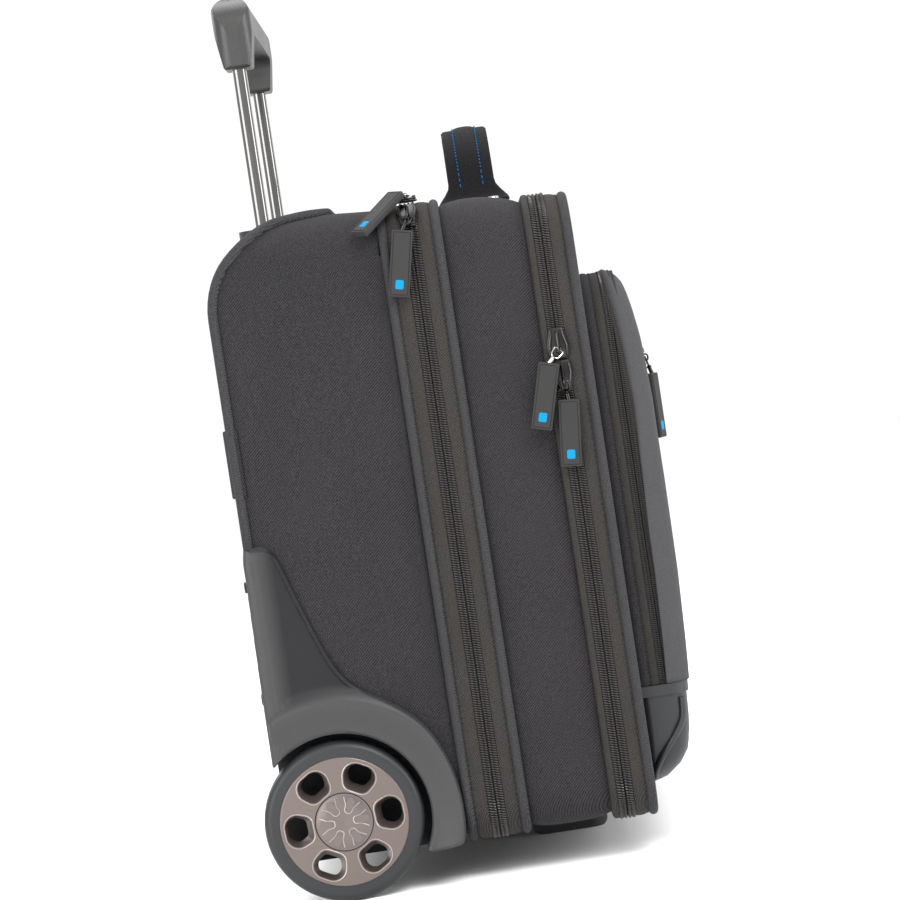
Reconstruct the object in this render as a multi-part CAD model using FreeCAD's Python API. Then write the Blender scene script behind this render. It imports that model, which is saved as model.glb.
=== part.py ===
"""Two-wheeled rolling laptop case: a soft case in three zipped sections on a telescopic handle.

Frame: +Z up, +X to the case's right, -Y to its front. The origin is on the floor, in the middle of
the case's width and of its whole depth. Everything is in millimetres. The case stands on its two
wheels at the back and on a foot under its middle section.

The sections, from back to front, are the back section with the wheels and the handle, the middle
section that holds the laptop, and the front lid with its pocket. Each opens about a hinge line
along its bottom edge. A zip band, split at the middle of its chain, joins each pair.
"""

import FreeCAD, Part
import math
import os

V = FreeCAD.Vector

# ---- driving dimensions ----
HALF_WIDTH = 214.0          # side panels
BASE_Z = 25.0               # underside of the sections
TOP_Z = 385.0               # top of the sections
TOP_CORNER_R = 26.0         # corners seen from the front
BOTTOM_CORNER_R = 22.0
WALL = 3.0                  # fabric, foam and board together
BAND_PROUD = 4.5            # how far a zip band stands out of the panels
SPLIT_GAP = 0.3             # clearance between two halves of a zip band

# Stations along the depth, from the back panel to the front of the pocket.
BACK_Y = 117.0
BAND_1_BACK_Y = 15.5
CHAIN_1_Y = -3.0
BAND_1_FRONT_Y = -21.0
BAND_2_BACK_Y = -67.5
CHAIN_2_Y = -76.5
LID_FRONT_Y = -94.5
POCKET_CHAIN_Y = -109.5
POCKET_FRONT_Y = -125.5
BACK_TOP_R = 40.0           # the back panel rolls over into the top
CROWN_RISE = 5.0            # the back section's top swells to this above the others, at CROWN_Y
CROWN_Y = 46.0
PLAN_CORNER_R = 9.0

# Wheels.
WHEEL_R = 46.0
WHEEL_WIDTH = 26.0
RIM_R = 37.0
AXLE_Y = 84.0
AXLE_Z = WHEEL_R
WHEEL_OUTER_X = 221.6       # outer face of each wheel
HUB_BORE_R = 11.0
BEARING_BORE_R = 4.0
BEARING_WIDTH = 7.0
AXLE_R = 3.95
SPOKE_COUNT = 6
SPOKE_PHASE_DEG = 26.6      # from the top of the wheel to its first window, towards the front
WELL_R = 50.0
HOUSING_WALL = 3.0
HOUSING_OUTER_X = 219.0
WELL_INNER_X = 186.0
NOTCH_X = 182.0             # the back section is cut away outside this for the wheel wells
NOTCH_FRONT_Y = 29.0
NOTCH_TOP_Z = 101.0

# Telescopic handle: three tubes, one inside another, on each side.
TUBE_X = 100.0
TUBE_Y = 85.0
OUTER_TUBE = (23.0, 15.0, 1.4)      # width, depth, wall
MIDDLE_TUBE = (19.4, 11.4, 1.2)
INNER_TUBE = (16.0, 8.0, 1.0)
TUBE_CORNER_R = 3.0
OUTER_TUBE_Z = (36.0, 383.0)
MIDDLE_TUBE_Z = (44.0, 383.5)
GRIP_BOTTOM_Z = 487.0
GRIP_HEIGHT = 44.0
GRIP_DEPTH = 23.0
GRIP_FOOT_DEPTH = 16.5
GRIP_HALF_LENGTH = 114.0
GRIP_LEG_INNER_X = 86.0
GRIP_BAR_HEIGHT = 23.0
INNER_TUBE_Z = (150.0, GRIP_BOTTOM_Z + 14.0)
BEZEL_TOP_Z = 390.0
BEZEL_HALF_LENGTH = 128.0
BEZEL_DEPTH = 28.0
BEZEL_HOLE = (23.6, 15.6)

# Foot, straps and carry handle.
FOOT_HALF_WIDTH = 62.0
FOOT_Y = (-68.0, -20.0)
FOOT_HEIGHT = BASE_Z
STRAP_HEIGHT = 40.0
STRAP_CENTRE_Z = 256.0
STRAP_THICKNESS = 2.0
CARRY_Y = -43.0
CARRY_WIDTH = 28.0
CARRY_THICKNESS = 7.0
CARRY_HALF_SPAN = 72.0
CARRY_TOP_Z = 438.0
PIPING_R = 3.0
PIPING_TOP_Y = 37.0         # where the piping crosses the top

# Front pocket.
POCKET_HALF_WIDTH = 202.0
POCKET_BASE_Z = 36.0
POCKET_TOP_Z = 334.0
POCKET_HINGE_Z = 95.0

# Zip sliders and pulls.
SLIDER_LENGTH = 17.0
SLIDER_WIDTH = 13.0
SLIDER_PLATE = 2.0
SLIDER_LIFT = 0.5           # clearance between the slider and the chain
BAIL_HEIGHT = 3.2
BAIL_HALF = 2.4
BAIL_WALL = 1.0
BAIL_SHIFT = 4.0            # the bail stands this far from the middle of the slider
LINK_LENGTH = 11.0
LINK_WIDTH = 7.4
LINK_BAR = 1.0
LINK_THICKNESS = 1.0
LINK_IN_TAG = 1.0
TAG_LENGTH = 38.0
TAG_WIDTH = 12.0
TAG_THICKNESS = 3.8

X_AXIS, Y_AXIS, Z_AXIS = V(1, 0, 0), V(0, 1, 0), V(0, 0, 1)


# ---- drawing tools ----
def in_plane(axis, along, u, v):
    """A point from two coordinates in the plane across an axis, and one along that axis."""
    if axis == "X":
        return V(along, u, v)
    if axis == "Y":
        return V(u, along, v)
    return V(u, v, along)


def rounded_wire(axis, along, corners):
    """A closed wire through corners (u, v, radius), each rounded with a tangent arc."""
    ends = []
    for i, (u, v, radius) in enumerate(corners):
        here = V(u, v, 0)
        back = V(*corners[i - 1][:2], 0) - here
        ahead = V(*corners[(i + 1) % len(corners)][:2], 0) - here
        back.normalize()
        ahead.normalize()
        if radius <= 0:
            ends.append((here, None, here))
            continue
        half = back.getAngle(ahead) / 2
        middle_way = (back + ahead).normalize()
        reach = radius / math.tan(half)
        middle = here + middle_way * (radius / math.sin(half) - radius)
        ends.append((here + back * reach, middle, here + ahead * reach))

    def place(p):
        return in_plane(axis, along, p.x, p.y)

    edges = []
    for i, (start, middle, end) in enumerate(ends):
        if middle is not None:
            edges.append(Part.Arc(place(start), place(middle), place(end)).toShape())
        following = ends[(i + 1) % len(ends)][0]
        if (following - end).Length > 1e-6:
            edges.append(Part.makeLine(place(end), place(following)))
    return Part.Wire(edges)


def slab(axis, start, end, corners):
    """The prism on a rounded outline, from start to end along an axis."""
    face = Part.Face(rounded_wire(axis, start, corners))
    return face.extrude(in_plane(axis, end - start, 0, 0))


def box(x, y, z):
    """A box from its three (low, high) pairs."""
    return Part.makeBox(x[1] - x[0], y[1] - y[0], z[1] - z[0], V(x[0], y[0], z[0]))


def rectangle(u, v, radius):
    """Corners of a rounded rectangle from its two (low, high) pairs."""
    return [(u[0], v[0], radius), (u[1], v[0], radius), (u[1], v[1], radius), (u[0], v[1], radius)]


def mirrored(shape):
    """The same shape on the other side of the case."""
    return shape.mirror(V(0, 0, 0), X_AXIS)


def joined(shapes):
    """Several solids that touch, fused into one."""
    return shapes[0].fuse(shapes[1:]).removeSplitter()


def rod(radius, start, end):
    """A round bar from one point to another."""
    return Part.makeCylinder(radius, (end - start).Length, start, end - start)


def moved(shape, place):
    """A copy of a shape drawn at the origin, put in its place."""
    copy = shape.copy()
    copy.Placement = place
    return copy


# ---- the case's own outlines ----
def front_outline(out):
    """The case seen from the front, grown outwards by a distance."""
    half = HALF_WIDTH + out
    return [(-half, BASE_Z - out, BOTTOM_CORNER_R + out), (half, BASE_Z - out, BOTTOM_CORNER_R + out),
            (half, TOP_Z + out, TOP_CORNER_R + out), (-half, TOP_Z + out, TOP_CORNER_R + out)]


def ring(y_low, y_high, outer, inner):
    """A loop of the front outline between two offsets, such as a gusset or a zip band."""
    return slab("Y", y_low, y_high, front_outline(outer)).cut(
        slab("Y", y_low, y_high, front_outline(inner)))


def back_block(out, front_y):
    """The back section as a solid, grown by a distance: rolled over at the top, rounded in plan."""
    back = BACK_Y + out
    half = HALF_WIDTH + out
    low, top, crown = BASE_Z - out, TOP_Z + out, TOP_Z + CROWN_RISE + out
    side = [(front_y, low, 0), (back, low, PLAN_CORNER_R + out), (back, top, BACK_TOP_R + out),
            (CROWN_Y, crown, 120), (front_y, top + 2, 0)]
    plan = [(-half, front_y, 0), (half, front_y, 0), (half, back, PLAN_CORNER_R + out),
            (-half, back, PLAN_CORNER_R + out)]
    seen_from_front = front_outline(out)[:2] + [(half, crown, TOP_CORNER_R + out), (-half, crown, TOP_CORNER_R + out)]
    solid = slab("Y", front_y, back, seen_from_front)
    solid = solid.common(slab("X", -half, half, side))
    return solid.common(slab("Z", low, crown, plan))


def wheel_notch(out, sign):
    """The space taken out of a lower back corner for a wheel well."""
    x = sorted((sign * (NOTCH_X - out), sign * (HALF_WIDTH + 20)))
    return box(x, (NOTCH_FRONT_Y - out, BACK_Y + 20), (0, NOTCH_TOP_Z + out))


def tube_pair(section, z_range):
    """The handle's two tubes of one size."""
    return Part.makeCompound([tube(section, z_range, -TUBE_X), tube(section, z_range, TUBE_X)])


def tube(section, z_range, x):
    """A rounded rectangular tube standing at one side of the handle."""
    width, depth, wall = section
    outer = rectangle((x - width / 2, x + width / 2), (TUBE_Y - depth / 2, TUBE_Y + depth / 2), TUBE_CORNER_R)
    half_w, half_d = width / 2 - wall, depth / 2 - wall
    inner = rectangle((x - half_w, x + half_w), (TUBE_Y - half_d, TUBE_Y + half_d), TUBE_CORNER_R - wall)
    return slab("Z", *z_range, outer).cut(slab("Z", *z_range, inner))


# ---- back section ----
def bezel():
    """The plate that the handle tubes come out of, with a socket round each outer tube."""
    low_z = TOP_Z - 5
    half = BEZEL_DEPTH / 2
    plate = slab("Z", low_z, BEZEL_TOP_Z,
                 rectangle((-BEZEL_HALF_LENGTH, BEZEL_HALF_LENGTH), (TUBE_Y - half, TUBE_Y + half), 12))
    socket_z = TOP_Z - 14
    for side in (-1, 1):
        x = side * TUBE_X
        socket = slab("Z", socket_z, low_z, rectangle((x - 14.5, x + 14.5), (TUBE_Y - 10.5, TUBE_Y + 10.5), 4))
        plate = plate.fuse(socket)
    for side in (-1, 1):
        x = side * TUBE_X
        width, depth = BEZEL_HOLE
        hole = slab("Z", socket_z - 1, BEZEL_TOP_Z + 1,
                    rectangle((x - width / 2, x + width / 2), (TUBE_Y - depth / 2, TUBE_Y + depth / 2), 3.3))
        plate = plate.cut(hole)
    return plate.removeSplitter()


def bezel_envelope():
    """The bezel and all it surrounds, which the top panel is cut for."""
    half = BEZEL_DEPTH / 2
    plate = slab("Z", TOP_Z - 5, BEZEL_TOP_Z,
                 rectangle((-BEZEL_HALF_LENGTH, BEZEL_HALF_LENGTH), (TUBE_Y - half, TUBE_Y + half), 12))
    sockets = [slab("Z", TOP_Z - 14, TOP_Z,
                    rectangle((side * TUBE_X - 14.5, side * TUBE_X + 14.5), (TUBE_Y - 10.5, TUBE_Y + 10.5), 4))
               for side in (-1, 1)]
    return plate.fuse(sockets)


def back_shell():
    """Fabric-covered shell, open at its front, with its two lower corners cut away for the wheels."""
    outer = back_block(0, BAND_1_BACK_Y)
    inner = back_block(-WALL, BAND_1_BACK_Y - 1)
    for sign in (-1, 1):
        outer = outer.cut(wheel_notch(0, sign))
        inner = inner.cut(wheel_notch(WALL, sign))
    return outer.cut(inner).cut(bezel_envelope())


def handle_cover():
    """Lining board in front of the handle tubes, which keeps them out of the compartment."""
    front = TUBE_Y - OUTER_TUBE[1] / 2 - 4
    return box((-NOTCH_X + WALL + 1, NOTCH_X - WALL - 1), (front - 2, front), (BASE_Z + WALL + 0.2, TOP_Z - 17))


def bracket():
    """Plate at the foot of the outer tubes, with a cup round each."""
    z_low = BASE_Z + WALL + 0.2
    z_tube = OUTER_TUBE_Z[0]
    half = 11.0
    body = box((-TUBE_X - 16, TUBE_X + 16), (TUBE_Y - half, TUBE_Y + half), (z_low, z_tube))
    for side in (-1, 1):
        x = side * TUBE_X
        cup = box((x - 16, x + 16), (TUBE_Y - half, TUBE_Y + half), (z_tube, z_tube + 26))
        body = body.fuse(cup)
    for side in (-1, 1):
        x = side * TUBE_X
        width, depth = OUTER_TUBE[0] / 2 + 0.1, OUTER_TUBE[1] / 2 + 0.1
        body = body.cut(box((x - width, x + width), (TUBE_Y - depth, TUBE_Y + depth), (z_tube, z_tube + 27)))
    return body.removeSplitter()


def base_plate():
    """Moulded skid plate under the back section, with three ribs."""
    plate = slab("Z", BASE_Z - 2.5, BASE_Z, rectangle((-176, 176), (22, 108), 10))
    ribs = [slab("Z", BASE_Z - 4.5, BASE_Z - 2.5, rectangle((-150, 150), (y - 3, y + 3), 2.5))
            for y in (40.0, 65.0, 90.0)]
    return joined([plate] + ribs)


def back_strap():
    """Flat webbing band sewn across the back panel."""
    half = HALF_WIDTH - PLAN_CORNER_R
    z = (STRAP_CENTRE_Z - STRAP_HEIGHT / 2, STRAP_CENTRE_Z + STRAP_HEIGHT / 2)
    return box((-half, half), (BACK_Y, BACK_Y + STRAP_THICKNESS), z)


def back_piping():
    """Bead along the back panel's seam: up both back edges, round the top corners, across the top."""
    solid = back_block(0, BAND_1_BACK_Y)
    edge_x = HALF_WIDTH - 2
    edge_y = BACK_Y - 2
    low_z = 210.0
    turn_z = TOP_Z - BACK_TOP_R - 12
    beads = []
    for side in (-1, 1):
        x = side * edge_x
        upright = rod(PIPING_R, V(x, edge_y, low_z), V(x, edge_y, turn_z))
        clear_of_strap = box((-HALF_WIDTH - 9, HALF_WIDTH + 9), (BACK_Y, BACK_Y + 9),
                             (STRAP_CENTRE_Z - STRAP_HEIGHT / 2 - 0.2, STRAP_CENTRE_Z + STRAP_HEIGHT / 2 + 0.2))
        beads.append(upright.cut(solid).cut(clear_of_strap))
    span = HALF_WIDTH - TOP_CORNER_R
    crown = TOP_Z + CROWN_RISE - 1
    beads.append(rod(PIPING_R, V(-span, PIPING_TOP_Y, crown), V(span, PIPING_TOP_Y, crown)).cut(solid))
    return Part.makeCompound([s for bead in beads for s in bead.Solids])


def housing_outline():
    """A wheel housing seen from the side: it sweeps down the back edge and swells over the wheel."""
    back = BACK_Y + HOUSING_WALL
    low = BASE_Z - 4
    fender = 68.0
    return [(back, low, 4), (back, 207, 4), (back - 15, 207, 8), (AXLE_Y + 3, 160, 40),
            (AXLE_Y - 18, 116, 45), (AXLE_Y - 52, 104, 30), (AXLE_Y - fender, 62, 30), (AXLE_Y - fender, low, 3)]


def wheel_housing():
    """Moulded corner shell on the left: side plate, wheel arch, inner wall with the axle boss, back wrap."""
    outer, inner = -HOUSING_OUTER_X, -HALF_WIDTH
    side = slab("X", outer, inner, housing_outline())
    arch_outer = Part.makeCylinder(WELL_R + HOUSING_WALL, HOUSING_OUTER_X - WELL_INNER_X + HOUSING_WALL,
                                   V(outer, AXLE_Y, AXLE_Z), X_AXIS)
    back = BACK_Y + HOUSING_WALL
    wrap = box((inner, -150), (BACK_Y, back), (NOTCH_TOP_Z + 0.3, 200))
    wrap_low = box((inner, -NOTCH_X - 0.3), (BACK_Y, back), (BASE_Z - 4, NOTCH_TOP_Z + 0.3))
    roof = box((inner, -NOTCH_X - 0.3), (NOTCH_FRONT_Y + 0.3, back), (NOTCH_TOP_Z - 2.7, NOTCH_TOP_Z - 0.2))
    front = box((inner, -NOTCH_X - 0.3), (NOTCH_FRONT_Y + 0.3, NOTCH_FRONT_Y + 2.8), (BASE_Z - 4, NOTCH_TOP_Z - 0.2))
    body = joined([side, arch_outer, wrap, wrap_low, roof, front])
    cavity = Part.makeCylinder(WELL_R, HOUSING_OUTER_X - WELL_INNER_X + 10, V(outer - 10, AXLE_Y, AXLE_Z), X_AXIS)
    body = body.cut(cavity)
    boss = rod(9.0, V(-WELL_INNER_X, AXLE_Y, AXLE_Z), V(-WELL_INNER_X - 4.5, AXLE_Y, AXLE_Z))
    body = body.fuse(boss)
    body = body.cut(rod(AXLE_R + 0.05, V(-WELL_INNER_X - 10, AXLE_Y, AXLE_Z), V(-WELL_INNER_X + 20, AXLE_Y, AXLE_Z)))
    below = box((-HOUSING_OUTER_X - 30, -100), (0, 200), (-20, BASE_Z - 4))
    behind = box((-HOUSING_OUTER_X - 30, -100), (back, back + 60), (-20, 230))
    return body.cut(below).cut(behind).removeSplitter()


def axle_bolt():
    """Left axle: a bolt through the bearings into the housing's boss, with its head in the hub."""
    shank = rod(AXLE_R, V(-WELL_INNER_X + HOUSING_WALL, AXLE_Y, AXLE_Z), V(-WHEEL_OUTER_X + 8, AXLE_Y, AXLE_Z))
    head = rod(6.5, V(-WHEEL_OUTER_X + 8, AXLE_Y, AXLE_Z), V(-WHEEL_OUTER_X + 5, AXLE_Y, AXLE_Z))
    return shank.fuse(head).removeSplitter()


def housing_screws():
    """Four pan-head screws on each housing's back wrap, through into the back panel's board."""
    screws = []
    for x in (-200.0, -165.0):
        for z in (120.0, 185.0):
            y = BACK_Y + HOUSING_WALL
            screws.append(rod(3.2, V(x, y, z), V(x, y + 1.4, z)))
    return Part.makeCompound(screws + [mirrored(s) for s in screws])


# ---- telescopic handle ----
def middle_collar(x):
    """Plastic bush on top of a middle tube, which guides the inner tube."""
    width, depth = 22.8, 14.8
    hole_w, hole_d = INNER_TUBE[0] / 2 + 0.3, INNER_TUBE[1] / 2 + 0.3
    z = (MIDDLE_TUBE_Z[1], BEZEL_TOP_Z - 0.2)
    outer = slab("Z", *z, rectangle((x - width / 2, x + width / 2), (TUBE_Y - depth / 2, TUBE_Y + depth / 2), 3))
    return outer.cut(slab("Z", *z, rectangle((x - hole_w, x + hole_w), (TUBE_Y - hole_d, TUBE_Y + hole_d), 3)))


def grip_side_outline(out):
    """The grip seen from its end: a round-topped upright, narrower at its feet."""
    top = GRIP_BOTTOM_Z + GRIP_HEIGHT + out
    bottom = GRIP_BOTTOM_Z - max(out, 0)
    half, foot = GRIP_DEPTH / 2 + out, GRIP_FOOT_DEPTH / 2 + out
    widest = GRIP_BOTTOM_Z + GRIP_HEIGHT / 2
    return [(TUBE_Y - foot, bottom, 2), (TUBE_Y + foot, bottom, 2), (TUBE_Y + half, widest, 40),
            (TUBE_Y + half, top, half - 0.5), (TUBE_Y - half, top, half - 0.5), (TUBE_Y - half, widest, 40)]


def grip_front_outline(out):
    """The grip seen from the front: a bar on two short legs."""
    top = GRIP_BOTTOM_Z + GRIP_HEIGHT + out
    under = GRIP_BOTTOM_Z + GRIP_HEIGHT - GRIP_BAR_HEIGHT - out
    bottom = GRIP_BOTTOM_Z - max(out, 0)
    half, leg = GRIP_HALF_LENGTH + out, GRIP_LEG_INNER_X - out
    return [(-half, bottom, 3), (-leg, bottom, 3), (-leg, under, 8), (leg, under, 8), (leg, bottom, 3),
            (half, bottom, 3), (half, top, 21 + out), (-half, top, 21 + out)]


def grip_solid(out):
    """The grip as a solid, grown by a distance."""
    side = slab("X", -GRIP_HALF_LENGTH - 5, GRIP_HALF_LENGTH + 5, grip_side_outline(out))
    front = slab("Y", TUBE_Y - GRIP_DEPTH, TUBE_Y + GRIP_DEPTH, grip_front_outline(out))
    half, depth = GRIP_HALF_LENGTH + out, GRIP_DEPTH / 2 + out
    plan = slab("Z", GRIP_BOTTOM_Z - 5, GRIP_BOTTOM_Z + GRIP_HEIGHT + 5,
                rectangle((-half, half), (TUBE_Y - depth, TUBE_Y + depth), 8 + out))
    return side.common(front).common(plan)


BUTTON_HALF_LENGTH = 17.0
BUTTON_HALF_DEPTH = 5.5
BUTTON_TRAVEL = 4.0


def grip_shell():
    """Hollow grip with a slot for the button in its top and a socket for each inner tube."""
    grip = grip_solid(0).cut(grip_solid(-2.2).common(
        box((-GRIP_HALF_LENGTH, GRIP_HALF_LENGTH), (0, 200), (GRIP_BOTTOM_Z + 16, GRIP_BOTTOM_Z + GRIP_HEIGHT))))
    slot = slab("Z", GRIP_BOTTOM_Z + GRIP_HEIGHT - 6, GRIP_BOTTOM_Z + GRIP_HEIGHT + 2,
                rectangle((-BUTTON_HALF_LENGTH - 0.4, BUTTON_HALF_LENGTH + 0.4),
                          (TUBE_Y - BUTTON_HALF_DEPTH - 0.4, TUBE_Y + BUTTON_HALF_DEPTH + 0.4), 5))
    grip = grip.cut(slot)
    for side in (-1, 1):
        x = side * TUBE_X
        half_w, half_d = INNER_TUBE[0] / 2, INNER_TUBE[1] / 2
        socket = slab("Z", GRIP_BOTTOM_Z - 1, INNER_TUBE_Z[1],
                      rectangle((x - half_w, x + half_w), (TUBE_Y - half_d, TUBE_Y + half_d), TUBE_CORNER_R))
        grip = grip.cut(socket)
        grip = grip.cut(rod(2.6, V(x, TUBE_Y, INNER_TUBE_Z[1] - 1), V(x, TUBE_Y, INNER_TUBE_Z[1] + 4)))
    return grip


def grip_half(front):
    """One of the two mouldings that meet on the grip's middle plane."""
    y = (TUBE_Y - 40, TUBE_Y) if front else (TUBE_Y, TUBE_Y + 40)
    half = grip_shell().common(box((-200, 200), y, (GRIP_BOTTOM_Z - 5, GRIP_BOTTOM_Z + GRIP_HEIGHT + 5)))
    for x in (-70.0, 70.0):
        z = GRIP_BOTTOM_Z + GRIP_HEIGHT - GRIP_BAR_HEIGHT / 2
        half = half.cut(rod(2.55, V(x, TUBE_Y, z), V(x, TUBE_Y + 20, z)))
    return half


def grip_screws():
    """Two screws through the back moulding."""
    z = GRIP_BOTTOM_Z + GRIP_HEIGHT - GRIP_BAR_HEIGHT / 2
    return Part.makeCompound([rod(2.4, V(x, TUBE_Y + 2, z), V(x, TUBE_Y + GRIP_DEPTH / 2 - 0.6, z))
                              for x in (-70.0, 70.0)])


def release_button():
    """Push button in the top of the grip, on a bar with a release rod down each inner tube."""
    top = GRIP_BOTTOM_Z + GRIP_HEIGHT
    cap = slab("Z", top - 7.5, top - 0.2,
               rectangle((-BUTTON_HALF_LENGTH, BUTTON_HALF_LENGTH),
                         (TUBE_Y - BUTTON_HALF_DEPTH, TUBE_Y + BUTTON_HALF_DEPTH), 4.6))
    bar = box((-TUBE_X - 3, TUBE_X + 3), (TUBE_Y - 1.5, TUBE_Y + 1.5), (top - 13, top - 9.6))
    stem = box((-6, 6), (TUBE_Y - 1.5, TUBE_Y + 1.5), (top - 9.6, top - 7.5))
    rods = [rod(2.0, V(x, TUBE_Y, INNER_TUBE_Z[0] + 24), V(x, TUBE_Y, top - 11)) for x in (-TUBE_X, TUBE_X)]
    return joined([cap, stem, bar] + rods)


def lock_block(x):
    """Latch block that plugs the bottom of an inner tube."""
    width, depth, wall = INNER_TUBE
    half_w, half_d = width / 2 - wall - 0.05, depth / 2 - wall - 0.05
    plug = slab("Z", INNER_TUBE_Z[0], INNER_TUBE_Z[0] + 18,
                rectangle((x - half_w, x + half_w), (TUBE_Y - half_d, TUBE_Y + half_d), TUBE_CORNER_R - wall))
    cap = slab("Z", INNER_TUBE_Z[0] - 6, INNER_TUBE_Z[0],
               rectangle((x - width / 2, x + width / 2), (TUBE_Y - depth / 2, TUBE_Y + depth / 2), 2.5))
    return plug.fuse(cap).removeSplitter()


# ---- wheels ----
def on_axle(shape):
    """A wheel part drawn about the X axis with its outer face at 0, put on the left axle."""
    return moved(shape, FreeCAD.Placement(V(-WHEEL_OUTER_X, AXLE_Y, AXLE_Z), FreeCAD.Rotation()))


def turned(profile):
    """A solid of revolution about the X axis from (x, radius) points, straight or with arcs."""
    edges = []
    for a, b in zip(profile, profile[1:] + profile[:1]):
        if len(b) == 3:
            edges.append(Part.Arc(V(a[0], 0, a[1]), V(*b[2][:1], 0, b[2][1]), V(b[0], 0, b[1])).toShape())
        else:
            edges.append(Part.makeLine(V(a[0], 0, a[1]), V(b[0], 0, b[1])))
    return Part.Face(Part.Wire(edges)).revolve(V(0, 0, 0), X_AXIS, 360)


def tyre():
    """Solid tyre with a rounded tread, proud of the rim on both faces."""
    middle = WHEEL_WIDTH / 2
    crown = [(1.5, RIM_R), (1.5, WHEEL_R - 5), (6.5, WHEEL_R - 0.4, (2.8, WHEEL_R - 1.6)),
             (WHEEL_WIDTH - 6.5, WHEEL_R - 0.4, (middle, WHEEL_R)),
             (WHEEL_WIDTH - 1.5, WHEEL_R - 5, (WHEEL_WIDTH - 2.8, WHEEL_R - 1.6)), (WHEEL_WIDTH - 1.5, RIM_R)]
    return on_axle(turned(crown))


def spoke_window():
    """A rounded trapezium through the rim between two spokes, smaller at its far side."""
    near = [(-6.3, 18.2, 5.0), (6.3, 18.2, 5.0), (12.6, 34.0, 7.0), (-12.6, 34.0, 7.0)]
    far = [(-4.4, 22.0, 3.6), (4.4, 22.0, 3.6), (9.8, 32.8, 5.2), (-9.8, 32.8, 5.2)]
    return Part.makeLoft([rounded_wire("X", 0.5, near), rounded_wire("X", 11.5, far)], True, True)


def rim():
    """Six-spoke rim: a dished disc with a barrel for the tyre and a hub for the two bearings."""
    disc = [(1.0, 19.0), (1.0, RIM_R - 1), (2.0, RIM_R, (1.3, RIM_R - 0.3)), (WHEEL_WIDTH - 2, RIM_R),
            (WHEEL_WIDTH - 2, RIM_R - 3), (11.0, RIM_R - 4), (11.0, 15.0), (WHEEL_WIDTH - 2, 14.0),
            (WHEEL_WIDTH - 2, HUB_BORE_R), (4.0, HUB_BORE_R), (4.0, 16.8), (1.0, 16.8)]
    solid = turned(disc)
    for i in range(SPOKE_COUNT):
        window = spoke_window()
        window.rotate(V(0, 0, 0), X_AXIS, SPOKE_PHASE_DEG + 360.0 / SPOKE_COUNT * i)
        solid = solid.cut(window)
    return on_axle(solid)


def hub_cap():
    """Round cap in the rim's face, with six raised tongues."""
    cap = turned([(0.6, 0.0), (0.2, 10.0, (0.3, 5.0)), (1.0, 15.6, (0.5, 13.2)), (1.0, 16.3), (3.6, 16.3), (3.6, 0.0)])
    tongues = []
    for i in range(SPOKE_COUNT):
        tongue = slab("X", -0.2, 1.5, rectangle((-2.2, 2.2), (7.5, 14.5), 2.1))
        tongue.rotate(V(0, 0, 0), X_AXIS, SPOKE_PHASE_DEG + 360.0 / SPOKE_COUNT * i)
        tongues.append(tongue)
    return on_axle(cap.fuse(tongues).removeSplitter())


def bearings():
    """Two ball bearings, drawn as their outer envelopes, at the ends of the hub."""
    rings = []
    for start in (WHEEL_WIDTH - 2 - BEARING_WIDTH, 8.2):
        outside = rod(HUB_BORE_R, V(start, 0, 0), V(start + BEARING_WIDTH, 0, 0))
        rings.append(on_axle(outside.cut(rod(BEARING_BORE_R, V(start - 1, 0, 0), V(start + 9, 0, 0)))))
    return Part.makeCompound(rings)


# ---- middle section ----
def middle_shell():
    """Gusset with a padded divider across its back, open at its front."""
    gusset = ring(BAND_2_BACK_Y, BAND_1_FRONT_Y, 0, -WALL)
    divider = slab("Y", BAND_1_FRONT_Y - WALL, BAND_1_FRONT_Y, front_outline(-WALL))
    return joined([gusset, divider])


def laptop_pad():
    """Padded sleeve wall that makes the laptop's slot with the divider."""
    return slab("Y", -60.0, -52.0, rectangle((-198, 198), (BASE_Z + WALL + 0.2, 300), 12))


def carry_handle():
    """Padded webbing loop on top of the middle section, on two sewn-down tabs."""
    foot_z = TOP_Z
    half = CARRY_HALF_SPAN
    y = (CARRY_Y - CARRY_WIDTH / 2, CARRY_Y + CARRY_WIDTH / 2)
    outer = [(-half, foot_z, 0), (half, foot_z, 0), (half - 8, CARRY_TOP_Z, 30), (-half + 8, CARRY_TOP_Z, 30)]
    t = CARRY_THICKNESS
    inner = [(-half + t, foot_z - 1, 0), (half - t, foot_z - 1, 0),
             (half - 8 - t, CARRY_TOP_Z - t, 24), (-half + 8 + t, CARRY_TOP_Z - t, 24)]
    loop = slab("Y", *y, outer).cut(slab("Y", *y, inner))
    tabs = [slab("Z", foot_z, foot_z + 3.5, rectangle((x - 17, x + 17), (y[0] - 6, y[1] + 6), 6))
            for x in (-half + 3, half - 3)]
    return joined([loop] + tabs)


def handle_rivets():
    """Two domed rivets through each of the carry handle's tabs."""
    domes = []
    for x in (-CARRY_HALF_SPAN - 8, CARRY_HALF_SPAN + 8):
        for y in (CARRY_Y - 9, CARRY_Y + 9):
            domes.append(rod(3.6, V(x, y, TOP_Z + 3.5), V(x, y, TOP_Z + 5.0)))
    return Part.makeCompound(domes)


def front_foot():
    """Moulded foot under the middle section, as deep as the wheels hold the case off the floor."""
    corners = [(FOOT_Y[0], 0, 5), (FOOT_Y[1], 0, 5), (FOOT_Y[1] - 2, FOOT_HEIGHT, 0), (FOOT_Y[0] + 2, FOOT_HEIGHT, 0)]
    block = slab("X", -FOOT_HALF_WIDTH, FOOT_HALF_WIDTH, corners)
    plan = rectangle((-FOOT_HALF_WIDTH, FOOT_HALF_WIDTH), FOOT_Y, 12)
    return block.common(slab("Z", 0, FOOT_HEIGHT, plan))


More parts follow.
